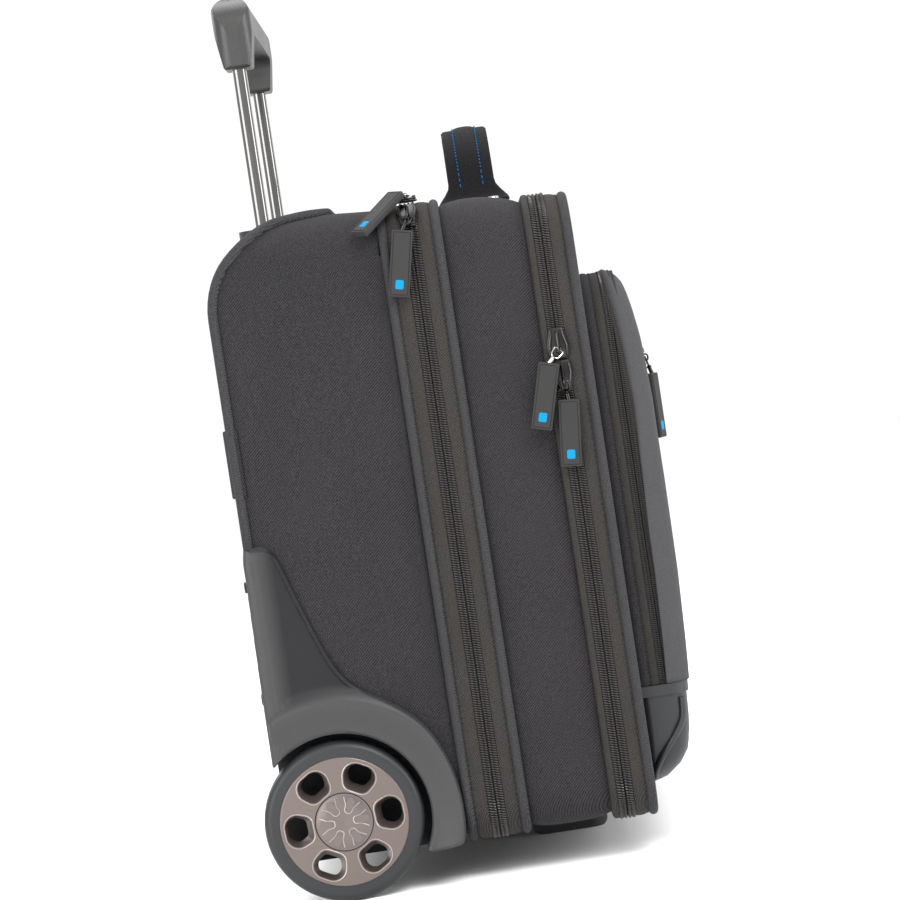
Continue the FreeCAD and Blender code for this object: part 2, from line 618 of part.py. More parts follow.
# ---- front lid and pocket ----
def pocket_block(out, y_back, z_range):
    """The pocket as a solid, grown by a distance and cut to a range of heights."""
    half = POCKET_HALF_WIDTH + out
    low, high = POCKET_BASE_Z - out, POCKET_TOP_Z + out
    front = POCKET_FRONT_Y - out
    seen_from_front = [(-half, low, 30), (half, low, 30), (half, high, 40), (-half, high, 40)]
    side = [(y_back, low, 0), (y_back, high, 0), (front + 5.5, high, 13 + out), (front, 190, 700),
            (front + 5, low, 21 + out)]
    plan = [(-half, y_back, 0), (half, y_back, 0), (half, front, 12 + out), (-half, front, 12 + out)]
    solid = slab("Y", front - 1, y_back, seen_from_front)
    solid = solid.common(slab("X", -half, half, side))
    solid = solid.common(slab("Z", low, high, plan))
    return solid.common(box((-300, 300), (-200, 0), z_range))


def pocket_gusset():
    """The pocket's side wall behind its zip, on the lid."""
    z = (POCKET_HINGE_Z, 400)
    split = POCKET_CHAIN_Y + SPLIT_GAP / 2
    behind = box((-300, 300), (split, LID_FRONT_Y), (0, 400))
    outer = pocket_block(0, LID_FRONT_Y, z)
    inner = pocket_block(-2.5, LID_FRONT_Y + 1, (POCKET_HINGE_Z - 1, 400))
    return outer.cut(inner).common(behind)


def pocket_base():
    """The pocket's fixed lower part, a smooth coated panel below the ends of the zip."""
    z = (0, POCKET_HINGE_Z)
    outer = pocket_block(0, LID_FRONT_Y, z)
    return outer.cut(pocket_block(-2.5, LID_FRONT_Y + 1, (0, POCKET_HINGE_Z + 1)))


def pocket_flap():
    """The pocket's front wall, which folds forward about its lower edge."""
    z = (POCKET_HINGE_Z + SPLIT_GAP, 400)
    split = POCKET_CHAIN_Y - SPLIT_GAP / 2
    ahead = box((-300, 300), (-200, split), (0, 400))
    outer = pocket_block(0, LID_FRONT_Y, z)
    return outer.cut(pocket_block(-2.5, LID_FRONT_Y + 1, (0, 400))).common(ahead)


SLIP_ZIP_Z = 281.0
SLIP_ZIP_HALF = 172.0
SLIP_ZIP_PROUD = 1.6


def slip_front_y():
    """Where the pocket's front face is, at the height of the slip zip."""
    probe = pocket_block(0, LID_FRONT_Y, (SLIP_ZIP_Z - 1, SLIP_ZIP_Z + 1)).BoundBox
    return probe.YMin


def slip_zip():
    """Short zip across the pocket's front, laid on its face."""
    front = slip_front_y()
    tape = box((-SLIP_ZIP_HALF, SLIP_ZIP_HALF), (front - SLIP_ZIP_PROUD, front), (SLIP_ZIP_Z - 7, SLIP_ZIP_Z + 7))
    return tape.cut(pocket_block(0, LID_FRONT_Y, (0, 400)))


# ---- zip sliders and pulls ----
def slider_plate():
    """The plate of a slider, drawn on the XY plane: it runs along X and lies over the chain."""
    half_l, half_w = SLIDER_LENGTH / 2, SLIDER_WIDTH / 2
    outline = [(-half_l, -half_w * 0.62, 1.5), (half_l * 0.2, -half_w, 3), (half_l, -half_w * 0.8, 2),
               (half_l, half_w * 0.8, 2), (half_l * 0.2, half_w, 3), (-half_l, half_w * 0.62, 1.5)]
    return slab("Z", SLIDER_LIFT, SLIDER_LIFT + SLIDER_PLATE, outline)


def slider_bail():
    """The small arch that holds the link, drawn over the origin: it stands in the XZ plane and swivels."""
    foot = SLIDER_LIFT + SLIDER_PLATE

    def arch(half, top, radius):
        return slab("Y", -1.0, 1.0, [(-half, foot, 0), (half, foot, 0), (half, top, radius), (-half, top, radius)])

    return arch(BAIL_HALF, foot + BAIL_HEIGHT, 1.6).cut(
        arch(BAIL_HALF - BAIL_WALL, foot + BAIL_HEIGHT - BAIL_WALL, 0.6))


def link_solid():
    """The metal loop between slider and tag, drawn from its hinge at the origin, hanging along -X."""
    half, eye = LINK_WIDTH / 2, LINK_WIDTH / 2 - LINK_BAR
    outer = slab("Z", -LINK_THICKNESS / 2, LINK_THICKNESS / 2,
                 rectangle((-LINK_LENGTH, LINK_BAR / 2), (-half, half), 1.6))
    return outer.cut(slab("Z", -2, 2, rectangle((-7.0, -LINK_BAR / 2), (-eye, eye), 0.6)))


def tag_solid():
    """The moulded tag, drawn from its top end at the origin, hanging along -X."""
    half = TAG_WIDTH / 2
    tag = slab("Z", -TAG_THICKNESS / 2, TAG_THICKNESS / 2, rectangle((-TAG_LENGTH, 0), (-half, half), 1.2))
    rims = [e for e in tag.Edges if e.Length > TAG_WIDTH - 3 and abs(e.BoundBox.ZLength) < 1e-6]
    return tag.makeFillet(0.8, rims)


def frame_at(origin, along, out):
    """A placement whose X runs along a zip and whose Z points out of the fabric."""
    return FreeCAD.Placement(origin, FreeCAD.Rotation(along, out.cross(along), out, "XZY"))


def hinge_height():
    """How far the pull's hinge axis lies off the fabric, in the middle of the bail's hollow."""
    return SLIDER_LIFT + SLIDER_PLATE + (BAIL_HEIGHT - BAIL_WALL) / 2


def corner_point(angle_deg):
    """A point and its outward direction on the left top corner of a zip band, from the side to the top."""
    a = math.radians(angle_deg)
    normal = V(-math.cos(a), 0, math.sin(a))
    centre = V(-(HALF_WIDTH - TOP_CORNER_R), CHAIN_1_Y, TOP_Z - TOP_CORNER_R)
    return centre + normal * (TOP_CORNER_R + BAND_PROUD), normal


def zip_pulls():
    """Each slider's name and place on its zip, its run and outward directions, which side of its middle
    its bail is on, and how its link and tag lie: the link's direction, the tag's, and its face's."""
    side_x = -(HALF_WIDTH + BAND_PROUD)
    low, low_out = corner_point(45)
    high, high_out = corner_point(90)
    left, right, front, up, down = X_AXIS * -1, X_AXIS, Y_AXIS * -1, Z_AXIS, Z_AXIS * -1
    slip_y = slip_front_y() - SLIP_ZIP_PROUD
    return [
        ("zip1_side", low, V(low_out.z, 0, -low_out.x), low_out, -1,
         V(-0.58, 0.40, -0.71), V(-0.05, 0.20, -0.98), left),
        ("zip1_top", high, V(-high_out.z, 0, high_out.x), high_out, 1,
         V(-0.87, 0.45, 0.20), V(-0.55, 0.64, -0.54), V(-0.50, 0.40, 0.77)),
        ("zip2_upper", V(side_x, CHAIN_2_Y, 297.0), down, left, 1,
         V(-0.38, 0.68, -0.63), V(0, 0.26, -0.966), left),
        ("zip2_lower", V(side_x, CHAIN_2_Y, 278.5), up, left, -1, V(0, -0.11, -0.99), V(0, 0.10, -0.99), left),
        ("pocket", V(POCKET_HALF_WIDTH, POCKET_CHAIN_Y, 290), up, right, -1, down, down, right),
        ("slip", V(-150, slip_y, SLIP_ZIP_Z), right, front, -1, V(0, -0.25, -0.97), down, V(-0.34, -0.94, 0)),
    ]


def main():
    os.makedirs("parts", exist_ok=True)
    for name in os.listdir("parts"):
        os.remove(os.path.join("parts", name))
    nodes = {
        "back_shell": back_shell(),
        "handle_cover": handle_cover(),
        "back_piping": back_piping(),
        "back_strap": back_strap(),
        "zip1_back_band": ring(CHAIN_1_Y + SPLIT_GAP / 2, BAND_1_BACK_Y, BAND_PROUD, -WALL),
        "base_plate": base_plate(),
        "bezel": bezel(),
        "bracket": bracket(),
        "housing_screws": housing_screws(),
        "outer_tubes": tube_pair(OUTER_TUBE, OUTER_TUBE_Z),
        "middle_tubes": tube_pair(MIDDLE_TUBE, MIDDLE_TUBE_Z),
        "inner_tubes": tube_pair(INNER_TUBE, INNER_TUBE_Z),
        "middle_collars": Part.makeCompound([middle_collar(-TUBE_X), middle_collar(TUBE_X)]),
        "grip_front": grip_half(True),
        "grip_back": grip_half(False),
        "grip_screws": grip_screws(),
        "lock_blocks": Part.makeCompound([lock_block(-TUBE_X), lock_block(TUBE_X)]),
        "release_button": release_button(),
        "middle_shell": middle_shell(),
        "zip1_front_band": ring(BAND_1_FRONT_Y, CHAIN_1_Y - SPLIT_GAP / 2, BAND_PROUD, -WALL),
        "zip2_back_band": ring(CHAIN_2_Y + SPLIT_GAP / 2, BAND_2_BACK_Y, BAND_PROUD, -WALL),
        "laptop_pad": laptop_pad(),
        "carry_handle": carry_handle(),
        "handle_rivets": handle_rivets(),
        "front_foot": front_foot(),
        "zip2_front_band": ring(LID_FRONT_Y, CHAIN_2_Y - SPLIT_GAP / 2, BAND_PROUD, -WALL),
        "front_panel": slab("Y", LID_FRONT_Y, LID_FRONT_Y + WALL, front_outline(-WALL)),
        "pocket_gusset": pocket_gusset(),
        "pocket_base": pocket_base(),
        "pocket_flap": pocket_flap(),
        "slip_zip": slip_zip(),
    }
    one_side = {"wheel_housing": wheel_housing(), "tyre": tyre(), "rim": rim(), "hub_cap": hub_cap(),
                "bearings": bearings()}
    for name, shape in one_side.items():
        nodes[name + "_left"] = shape
        nodes[name + "_right"] = mirrored(shape)
    bolt = axle_bolt()
    nodes["axle_bolts"] = Part.makeCompound([bolt, mirrored(bolt)])
    for name, origin, along, out, side, link_way, tag_way, tag_face in zip_pulls():
        bail_foot = origin + along * (side * BAIL_SHIFT)
        hinge = bail_foot + out * hinge_height()
        link_way.normalize()
        bail_way = link_way - out * link_way.dot(out)
        nodes[name + "_slider"] = joined([moved(slider_plate(), frame_at(origin, along, out)),
                                          moved(slider_bail(), frame_at(bail_foot, bail_way * -1, out))])
        link = moved(link_solid(), frame_at(hinge, link_way * -1, out))
        tag_start = hinge + link_way * (LINK_LENGTH - LINK_IN_TAG)
        nodes[name + "_link"] = link
        nodes[name + "_tag"] = moved(tag_solid(), frame_at(tag_start, tag_way * -1, tag_face)).cut(link)
    for name, shape in nodes.items():
        for solid in shape.Solids:
            if not solid.isValid() or solid.Volume <= 0:
                print("bad solid in", name)
        shape.exportStep("parts/%s.step" % name)
    whole = Part.makeCompound(list(nodes.values())).BoundBox
    print("nodes", len(nodes), "box", [round(v, 2) for v in
          (whole.XMin, whole.XMax, whole.YMin, whole.YMax, whole.ZMin, whole.ZMax)])


main()
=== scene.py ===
"""The look of the rolling laptop case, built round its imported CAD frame.

Sizes in this file are in millimetres and become metres where a mesh is made. The soft parts are new
meshes in the place of their plain CAD solids. The wheels, tubes, grip and other rigid parts keep
their CAD meshes and get procedural materials.
"""

import math

import bpy
import bmesh
from mathutils import Matrix, Vector, noise


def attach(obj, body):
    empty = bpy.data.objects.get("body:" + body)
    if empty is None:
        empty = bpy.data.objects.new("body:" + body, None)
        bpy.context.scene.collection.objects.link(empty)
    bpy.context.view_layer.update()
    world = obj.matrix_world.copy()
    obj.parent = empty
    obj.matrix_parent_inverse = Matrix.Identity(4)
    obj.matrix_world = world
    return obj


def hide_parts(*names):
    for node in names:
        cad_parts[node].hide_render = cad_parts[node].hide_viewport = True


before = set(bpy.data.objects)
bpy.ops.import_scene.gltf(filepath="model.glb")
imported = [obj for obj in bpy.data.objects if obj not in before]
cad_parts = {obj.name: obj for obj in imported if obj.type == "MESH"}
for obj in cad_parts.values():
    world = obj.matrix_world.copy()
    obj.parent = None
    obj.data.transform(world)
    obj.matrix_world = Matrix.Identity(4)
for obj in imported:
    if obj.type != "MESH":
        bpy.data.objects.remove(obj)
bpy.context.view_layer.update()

MM = 0.001

# ---- the case's measures, the same as its CAD model's ----
HALF, BASE, TOP = 214.0, 25.0, 385.0
R_TOP, R_BOTTOM = 26.0, 22.0
CHAIN_1, CHAIN_2, CHAIN_P = -3.0, -76.5, -109.5
BACK, LID_FRONT = 117.0, -94.5
AXLE_Y, AXLE_Z = 84.0, 46.0
POCKET_HALF, POCKET_LOW, POCKET_HIGH = 202.0, 36.0, 334.0
POCKET_R_LOW, POCKET_R_HIGH = 30.0, 40.0
POCKET_SPLIT = 95.2
SLIP_Z = 281.0
FLOOR = 0.0


# ---- materials ----
class Nodes:
    """A material's node tree, with short ways to add and join nodes."""

    def __init__(self, name):
        self.material = bpy.data.materials.new(name)
        self.material.use_nodes = True
        self.tree = self.material.node_tree
        self.shader = self.tree.nodes["Principled BSDF"]
        self.place = self.add("ShaderNodeTexCoord").outputs["Object"]

    def add(self, kind, **settings):
        node = self.tree.nodes.new(kind)
        for key, value in settings.items():
            setattr(node, key, value)
        return node

    def put(self, socket, value):
        if isinstance(value, bpy.types.NodeSocket):
            self.tree.links.new(value, socket)
        else:
            socket.default_value = value

    def maths(self, operation, a, b=0.0, clamp=False):
        node = self.add("ShaderNodeMath", operation=operation, use_clamp=clamp)
        self.put(node.inputs[0], a)
        self.put(node.inputs[1], b)
        return node.outputs[0]

    def split(self):
        node = self.add("ShaderNodeSeparateXYZ")
        self.put(node.inputs[0], self.place)
        return node.outputs

    def noise(self, scale, detail=3.0, rough=0.55):
        node = self.add("ShaderNodeTexNoise")
        self.put(node.inputs["Vector"], self.place)
        node.inputs["Scale"].default_value = scale
        node.inputs["Detail"].default_value = detail
        node.inputs["Roughness"].default_value = rough
        return node.outputs["Fac"]

    def ramp(self, value, low, high, out_low=0.0, out_high=1.0):
        node = self.add("ShaderNodeMapRange")
        self.put(node.inputs["Value"], value)
        for key, number in (("From Min", low), ("From Max", high), ("To Min", out_low), ("To Max", out_high)):
            node.inputs[key].default_value = number
        return node.outputs[0]

    def mix(self, factor, a, b):
        node = self.add("ShaderNodeMix", data_type="RGBA")
        self.put(node.inputs["Factor"], factor)
        for socket, value in ((node.inputs[6], a), (node.inputs[7], b)):
            self.put(socket, value if isinstance(value, bpy.types.NodeSocket) else (*value, 1.0))
        return node.outputs[2]

    def set(self, **values):
        for key, value in values.items():
            socket = self.shader.inputs[key.replace("_", " ")]
            if isinstance(value, tuple) and len(value) == 3:
                value = (*value, 1.0)
            self.put(socket, value)

    def bump(self, height, distance, strength=1.0):
        node = self.add("ShaderNodeBump")
        self.put(node.inputs["Height"], height)
        node.inputs["Distance"].default_value = distance * MM
        node.inputs["Strength"].default_value = strength
        self.put(self.shader.inputs["Normal"], node.outputs["Normal"])


def wave(n, x, pitch_mm):
    """A sine from 0 to 1 with a pitch along a coordinate."""
    sine = n.maths("SINE", n.maths("MULTIPLY", x, 2 * math.pi / (pitch_mm * MM)))
    return n.maths("ADD", n.maths("MULTIPLY", sine, 0.5), 0.5)


def cloth(name, light, dark, pitch=0.8, depth=0.25, sheen=0.03, rough=0.8, cross=0.75):
    """A twill: diagonal ribs broken by the crossing yarns, with slow changes of shade."""
    n = Nodes(name)
    x, y, z = n.split()
    along = n.maths("ADD", n.maths("ADD", x, y), z)
    over = n.maths("SUBTRACT", n.maths("ADD", x, z), y)
    ribs = wave(n, along, pitch)
    yarns = wave(n, over, pitch * cross)
    weave = n.maths("MULTIPLY", ribs, n.ramp(yarns, 0, 1, 0.45, 1.0))
    fuzz = n.noise(1250, 2, 0.7)
    slow = n.noise(9, 3)
    tone = n.maths("ADD", n.maths("MULTIPLY", weave, 0.4), n.maths("MULTIPLY", fuzz, 0.9))
    shade = n.maths("ADD", n.ramp(tone, 0.35, 0.95, -0.1, 0.9), n.maths("MULTIPLY", slow, 0.2), clamp=True)
    n.set(Base_Color=n.mix(shade, dark, light), Roughness=n.ramp(fuzz, 0.3, 0.7, rough - 0.08, rough + 0.08))
    n.shader.inputs["Sheen Weight"].default_value = sheen
    n.shader.inputs["Sheen Roughness"].default_value = 0.4
    n.shader.inputs["Specular IOR Level"].default_value = 0.16
    n.bump(n.maths("ADD", weave, n.maths("MULTIPLY", fuzz, 0.6)), depth, 0.7)
    return n.material


def plastic(name, colour, rough=0.5, grain=0.12, grain_scale=900.0, spread=0.12, specular=0.5, metallic=0.0):
    """A moulded plastic with a fine grain, small scuffs and a little variation in gloss."""
    n = Nodes(name)
    fine = n.noise(grain_scale, 3, 0.6)
    slow = n.noise(14, 4)
    low = tuple(c * (1 - spread) for c in colour)
    high = tuple(min(1.0, c * (1 + spread)) for c in colour)
    shade = n.maths("ADD", n.maths("MULTIPLY", fine, 0.5), n.maths("MULTIPLY", slow, 0.5))
    n.set(Base_Color=n.mix(shade, low, high), Roughness=n.ramp(slow, 0.3, 0.7, rough - 0.05, rough + 0.06))
    n.shader.inputs["Metallic"].default_value = metallic
    n.shader.inputs["Specular IOR Level"].default_value = specular
    n.bump(fine, grain, 0.5)
    return n.material


def brushed(name, colour, rough):
    """A drawn metal tube: long faint lines up its length."""
    n = Nodes(name)
    node = n.add("ShaderNodeMapping")
    n.put(node.inputs["Vector"], n.place)
    node.inputs["Scale"].default_value = (900, 900, 6)
    lines = n.add("ShaderNodeTexNoise")
    n.put(lines.inputs["Vector"], node.outputs[0])
    lines.inputs["Scale"].default_value = 1.0
    lines.inputs["Detail"].default_value = 3.0
    low = tuple(c * 0.86 for c in colour)
    n.set(Base_Color=n.mix(lines.outputs["Fac"], low, colour),
          Roughness=n.ramp(lines.outputs["Fac"], 0.3, 0.7, rough - 0.06, rough + 0.08))
    n.shader.inputs["Metallic"].default_value = 1.0
    n.bump(lines.outputs["Fac"], 0.04, 0.4)
    return n.material


def leatherette(name, light, dark):
    """Coated fabric: small rounded pebbles under a satin finish."""
    n = Nodes(name)
    cells = n.add("ShaderNodeTexVoronoi", feature="SMOOTH_F1")
    n.put(cells.inputs["Vector"], n.place)
    cells.inputs["Scale"].default_value = 1100.0
    slow = n.noise(12, 4)
    n.set(Base_Color=n.mix(slow, dark, light), Roughness=n.ramp(slow, 0.3, 0.7, 0.42, 0.52))
    n.shader.inputs["Specular IOR Level"].default_value = 0.45
    n.bump(n.maths("MULTIPLY", cells.outputs["Distance"], -1.0), 0.12, 0.5)
    return n.material


def housing_look_painted_highlight():
    """Satin plastic round the wheel's arch and up the back edge, painted lighter there as a highlight, and a
    darker matt grained field between.
    """
    n = Nodes("housing_plastic")
    _, y, z = n.split()
    dy, dz = n.maths("SUBTRACT", y, AXLE_Y * MM), n.maths("SUBTRACT", z, AXLE_Z * MM)
    reach = n.maths("SQRT", n.maths("ADD", n.maths("MULTIPLY", dy, dy), n.maths("MULTIPLY", dz, dz)))
    matt = n.maths("MULTIPLY", n.ramp(reach, 0.069, 0.078), n.ramp(y, 0.112, 0.102))
    fine = n.noise(1100, 3, 0.6)
    # The satin colour is a painted highlight: about four times lighter than the field, where the arch and the
    # back ridge catch the light.
    satin = n.mix(fine, (0.030, 0.030, 0.031), (0.042, 0.042, 0.043))
    n.set(Base_Color=n.mix(matt, satin, n.mix(fine, (0.0055, 0.0055, 0.0065), (0.012, 0.012, 0.0135))),
          Roughness=n.ramp(matt, 0, 1, 0.4, 0.62))
    n.shader.inputs["Specular IOR Level"].default_value = 0.2
    n.bump(fine, 0.2, 0.5)
    return n.material


M = {
    "twill": cloth("charcoal_twill", (0.041, 0.038, 0.0415), (0.0012, 0.0012, 0.0018), pitch=1.7, depth=0.4),
    "tape": cloth("zip_tape", (0.046, 0.041, 0.038), (0.007, 0.0065, 0.006), pitch=1.6, cross=1.0),
    "piping": cloth("piping_cloth", (0.052, 0.051, 0.055), (0.009, 0.009, 0.010), pitch=1.5, depth=0.2,
                    cross=1.0),
    "panel": cloth("smooth_panel", (0.044, 0.045, 0.050), (0.010, 0.0105, 0.0125), pitch=1.2, depth=0.15,
                   rough=0.66),
    "webbing": cloth("black_webbing", (0.0105, 0.010, 0.0115), (0.002, 0.002, 0.0025), pitch=1.3, depth=0.45,
                     cross=1.0),
    "lining": cloth("lining", (0.06, 0.06, 0.063), (0.03, 0.03, 0.033), pitch=0.7, depth=0.15),
    "leatherette": leatherette("coated_fabric", (0.0105, 0.0112, 0.014), (0.006, 0.0065, 0.0085)),
    # Dark lines in grooves, and also the strip under the zip teeth, painted dark as the shade between the
    # coils.
    "groove": plastic("dark_groove_and_painted_shade", (0.006, 0.006, 0.006), rough=0.6, grain=0.02, specular=0.2),
    "thread_dark": cloth("dark_thread", (0.022, 0.022, 0.023), (0.008, 0.008, 0.009), pitch=0.4, depth=0.1,
                         cross=1.0),
    "thread_blue": cloth("blue_thread", (0.004, 0.10, 0.26), (0.002, 0.05, 0.14), pitch=0.4, depth=0.1,
                         cross=1.0),
    "coil": plastic("zip_coil", (0.043, 0.039, 0.038), rough=0.3, grain=0.02, specular=0.4),
    "slider": plastic("gunmetal", (0.035, 0.034, 0.034), rough=0.25, grain=0.02, metallic=1.0, spread=0.2),
    "steel_ring": plastic("polished_steel", (0.42, 0.41, 0.40), rough=0.22, grain=0.02, metallic=1.0,
                          spread=0.1),
    "tag": plastic("tag_rubber", (0.0175, 0.0172, 0.017), rough=0.62, grain=0.06, specular=0.25),
    "mark": plastic("blue_mark", (0.0, 0.17, 0.35), rough=0.6, grain=0.02, specular=0.1),
    "housing": housing_look_painted_highlight(),
    "housing_flat": plastic("housing_plastic_grained", (0.0105, 0.0105, 0.0112), rough=0.6, grain=0.3,
                            grain_scale=1100, specular=0.25),
    "bumper": plastic("black_plastic", (0.014, 0.014, 0.015), specular=0.3),
    "grip": plastic("grip_plastic", (0.024, 0.024, 0.0235), rough=0.36, grain=0.3, grain_scale=1000,
                    specular=0.4, spread=0.35),
    "button": plastic("button_plastic", (0.02, 0.02, 0.02), rough=0.4, grain=0.05),
    "tyre": plastic("tyre_rubber", (0.012, 0.013, 0.0145), rough=0.42, grain_scale=1300, specular=0.35),
    "rim": plastic("champagne_paint", (0.118, 0.095, 0.087), rough=0.36, grain=0.03, metallic=0.6,
                   spread=0.08),
    "cap": plastic("champagne_cap", (0.122, 0.100, 0.093), rough=0.34, grain=0.02, metallic=0.6,
                   spread=0.06),
    # A lighter copy of the rim's champagne paint: a painted highlight along the window edges and the tongues.
    "edge_highlight": plastic("painted_highlight_edge", (0.30, 0.262, 0.245), rough=0.3, grain=0.01, metallic=0.6,
                           spread=0.05),
    "tube": brushed("drawn_aluminium", (0.16, 0.158, 0.155), 0.14),
    "tube_dark": brushed("drawn_aluminium_outer", (0.34, 0.34, 0.36), 0.34),
    "zinc": plastic("zinc_steel", (0.40, 0.40, 0.39), rough=0.35, grain=0.03, metallic=1.0),
    "chrome": plastic("polished_rivet", (0.6, 0.6, 0.6), rough=0.15, grain=0.01, metallic=1.0, spread=0.05),
}

CAD_LOOKS = {
    "handle_cover": "lining", "bezel": "bumper", "bracket": "bumper", "base_plate": "bumper",
    "housing_screws": "bumper", "axle_bolts": "zinc", "outer_tubes": "tube_dark", "middle_tubes": "tube_dark",
    "middle_collars": "bumper", "inner_tubes": "tube", "lock_blocks": "bumper", "grip_front": "grip",
    "grip_back": "grip", "grip_screws": "bumper", "release_button": "button", "tyre_left": "tyre",
    "tyre_right": "tyre", "rim_left": "rim", "rim_right": "rim", "hub_cap_left": "cap",
    "hub_cap_right": "cap", "bearings_left": "zinc", "bearings_right": "zinc", "laptop_pad": "lining",
    "front_foot": "bumper",
}
for node_name, look in CAD_LOOKS.items():
    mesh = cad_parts[node_name].data
    mesh.materials.clear()
    mesh.materials.append(M[look])


# ---- making pieces ----
def piece(name, verts, faces, body, look, slot, replaces=(), sharp=35.0, looks=None, face_looks=None):
    """A mesh piece in millimetres that rides on a body; face_looks gives each face its material."""
    mesh = bpy.data.meshes.new(name)
    mesh.from_pydata([Vector(v) * MM for v in verts], [], faces)
    for key in looks or [look]:
        mesh.materials.append(M[key])
    if face_looks:
        mesh.polygons.foreach_set("material_index", face_looks)
    bm = bmesh.new()
    bm.from_mesh(mesh)
    bmesh.ops.remove_doubles(bm, verts=bm.verts, dist=0.00001)
    bmesh.ops.recalc_face_normals(bm, faces=bm.faces)
    bm.to_mesh(mesh)
    bm.free()
    mesh.shade_smooth()
    mesh.set_sharp_from_angle(angle=math.radians(sharp))
    obj = bpy.data.objects.new(name, mesh)
    bpy.context.collection.objects.link(obj)
    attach(obj, body)
    if replaces:
        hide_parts(*replaces)
    return obj


def grid_faces(rows, columns, wrap_rows=False, wrap_columns=False):
    """Quads over a grid of rows by columns of vertices, stored row by row."""
    faces = []
    for i in range(rows if wrap_rows else rows - 1):
        for j in range(columns if wrap_columns else columns - 1):
            k, m = (i + 1) % rows, (j + 1) % columns
            faces.append((i * columns + j, k * columns + j, k * columns + m, i * columns + m))
    return faces


def end_caps(count, total):
    """The first and last rings of a tube of vertices as faces; count is the vertices in a ring."""
    return [tuple(range(count)), tuple(total - 1 - j for j in range(count))]


class Ring:
    """Points round a rounded rectangle seen from the front, each with its outward direction."""

    def __init__(self, half, low, high, r_low, r_high, step=5.0, start=None):
        """The loop starts at the bottom middle and runs left, up, across the top and down the right."""
        self.points = []
        corners = [(-half + r_low, low + r_low, r_low, 270), (-half + r_high, high - r_high, r_high, 180),
                   (half - r_high, high - r_high, r_high, 90), (half - r_low, low + r_low, r_low, 0)]
        anchors = [(0.0, low)]
        for cx, cz, r, first in corners:
            entry = math.radians(first)
            self.line(anchors[-1], (cx + r * math.cos(entry), cz + r * math.sin(entry)), step)
            count = max(4, round(r * math.pi / 2 / min(step, 4.0)))
            for i in range(count + 1):
                a = math.radians(first - 90.0 * i / count)
                self.points.append((cx + r * math.cos(a), cz + r * math.sin(a), math.cos(a), math.sin(a)))
            anchors.append(self.points[-1][:2])
        self.line(anchors[-1], (0.0, low), step)
        if start is not None:
            self.points = [p for p in self.points if p[1] > start]
            first, last = self.points[0], self.points[-1]
            self.points = [(first[0], start, *first[2:])] + self.points + [(last[0], start, *last[2:])]
        self.lengths = [0.0]
        for a, b in zip(self.points, self.points[1:]):
            self.lengths.append(self.lengths[-1] + math.dist(a[:2], b[:2]))
        self.closed = start is None
        self.total = self.lengths[-1]
        if self.closed:
            self.total += math.dist(self.points[-1][:2], self.points[0][:2])

    def line(self, a, b, step):
        """Points along a straight side, from after a to before b."""
        length = math.dist(a, b)
        count = max(1, round(length / step))
        nx, nz = -(b[1] - a[1]) / length, (b[0] - a[0]) / length
        first = 0 if not self.points else 1
        for i in range(first, count):
            t = i / count
            self.points.append((a[0] + (b[0] - a[0]) * t, a[1] + (b[1] - a[1]) * t, nx, nz))

    def at(self, s):
        """The point and direction a distance along the loop."""
        if self.closed:
            s %= self.total
        low, high = 0, len(self.points) - 1
        while low < high:
            mid = (low + high + 1) // 2
            if self.lengths[mid] <= s:
                low = mid
            else:
                high = mid - 1
        a = self.points[low]
        b = self.points[(low + 1) % len(self.points)] if self.closed or low + 1 < len(self.points) else a
        span = math.dist(a[:2], b[:2]) or 1.0
        t = min(1.0, (s - self.lengths[low]) / span)
        x, z, nx, nz = (p + (q - p) * t for p, q in zip(a, b))
        size = math.hypot(nx, nz)
        return x, z, nx / size, nz / size


BODY_RING = Ring(HALF, BASE, TOP, R_BOTTOM, R_TOP)
POCKET_RING = Ring(POCKET_HALF, POCKET_LOW, POCKET_HIGH, POCKET_R_LOW, POCKET_R_HIGH, 4.0)
POCKET_ARCH = Ring(POCKET_HALF, POCKET_LOW, POCKET_HIGH, POCKET_R_LOW, POCKET_R_HIGH, 4.0, start=POCKET_SPLIT)


def smooth(low, high, value):
    """0 before low and 1 after high, with an even ease between; low may be above high."""
    t = max(0.0, min(1.0, (value - low) / (high - low)))
    return t * t * (3 - 2 * t)


def settle(y, z):
    """How far the tops of the middle section and the lid sink towards the front, where nothing holds them."""
    return -6.5 * smooth(-35, -90, y) * smooth(300, 385, z) if y > -94.65 else 0.0


def wobble(x, y, z, size=60.0, amount=0.5):
    """A slow, even unevenness for cloth."""
    return noise.noise(Vector((x, y, z)) / size) * amount


def resampled(path, step, closed=False):
    """A path with its long straight pieces divided."""
    out = []
    for a, b in zip(path, path[1:] + path[:1] if closed else path[1:]):
        count = max(1, math.ceil(math.dist(a, b) / step - 0.01))
        out += [tuple(p + (q - p) * k / count for p, q in zip(a, b)) for k in range(count)]
    return out if closed else out + [path[-1]]


def rounded(corners, step=50.0, closed=True, turn_step=12.0):
    """A path through corners (u, v, radius) with arcs in their place."""
    path = []
    for i, (u, v, r) in enumerate(corners):
        if r <= 0 or (not closed and i in (0, len(corners) - 1)):
            path.append((u, v))
            continue
        here = Vector((u, v))
        back = (Vector(corners[i - 1][:2]) - here).normalized()
        ahead = (Vector(corners[(i + 1) % len(corners)][:2]) - here).normalized()
        half = math.acos(max(-1.0, min(1.0, back.dot(ahead)))) / 2
        centre = here + (back + ahead).normalized() * (r / math.sin(half))
        a, b = here + back * (r / math.tan(half)) - centre, here + ahead * (r / math.tan(half)) - centre
        turn = math.atan2(a.x * b.y - a.y * b.x, a.dot(b))
        count = max(2, round(abs(math.degrees(turn)) / turn_step))
        for k in range(count + 1):
            c, s = math.cos(turn * k / count), math.sin(turn * k / count)
            path.append((centre.x + a.x * c - a.y * s, centre.y + a.x * s + a.y * c))
    return resampled(path, step, closed)


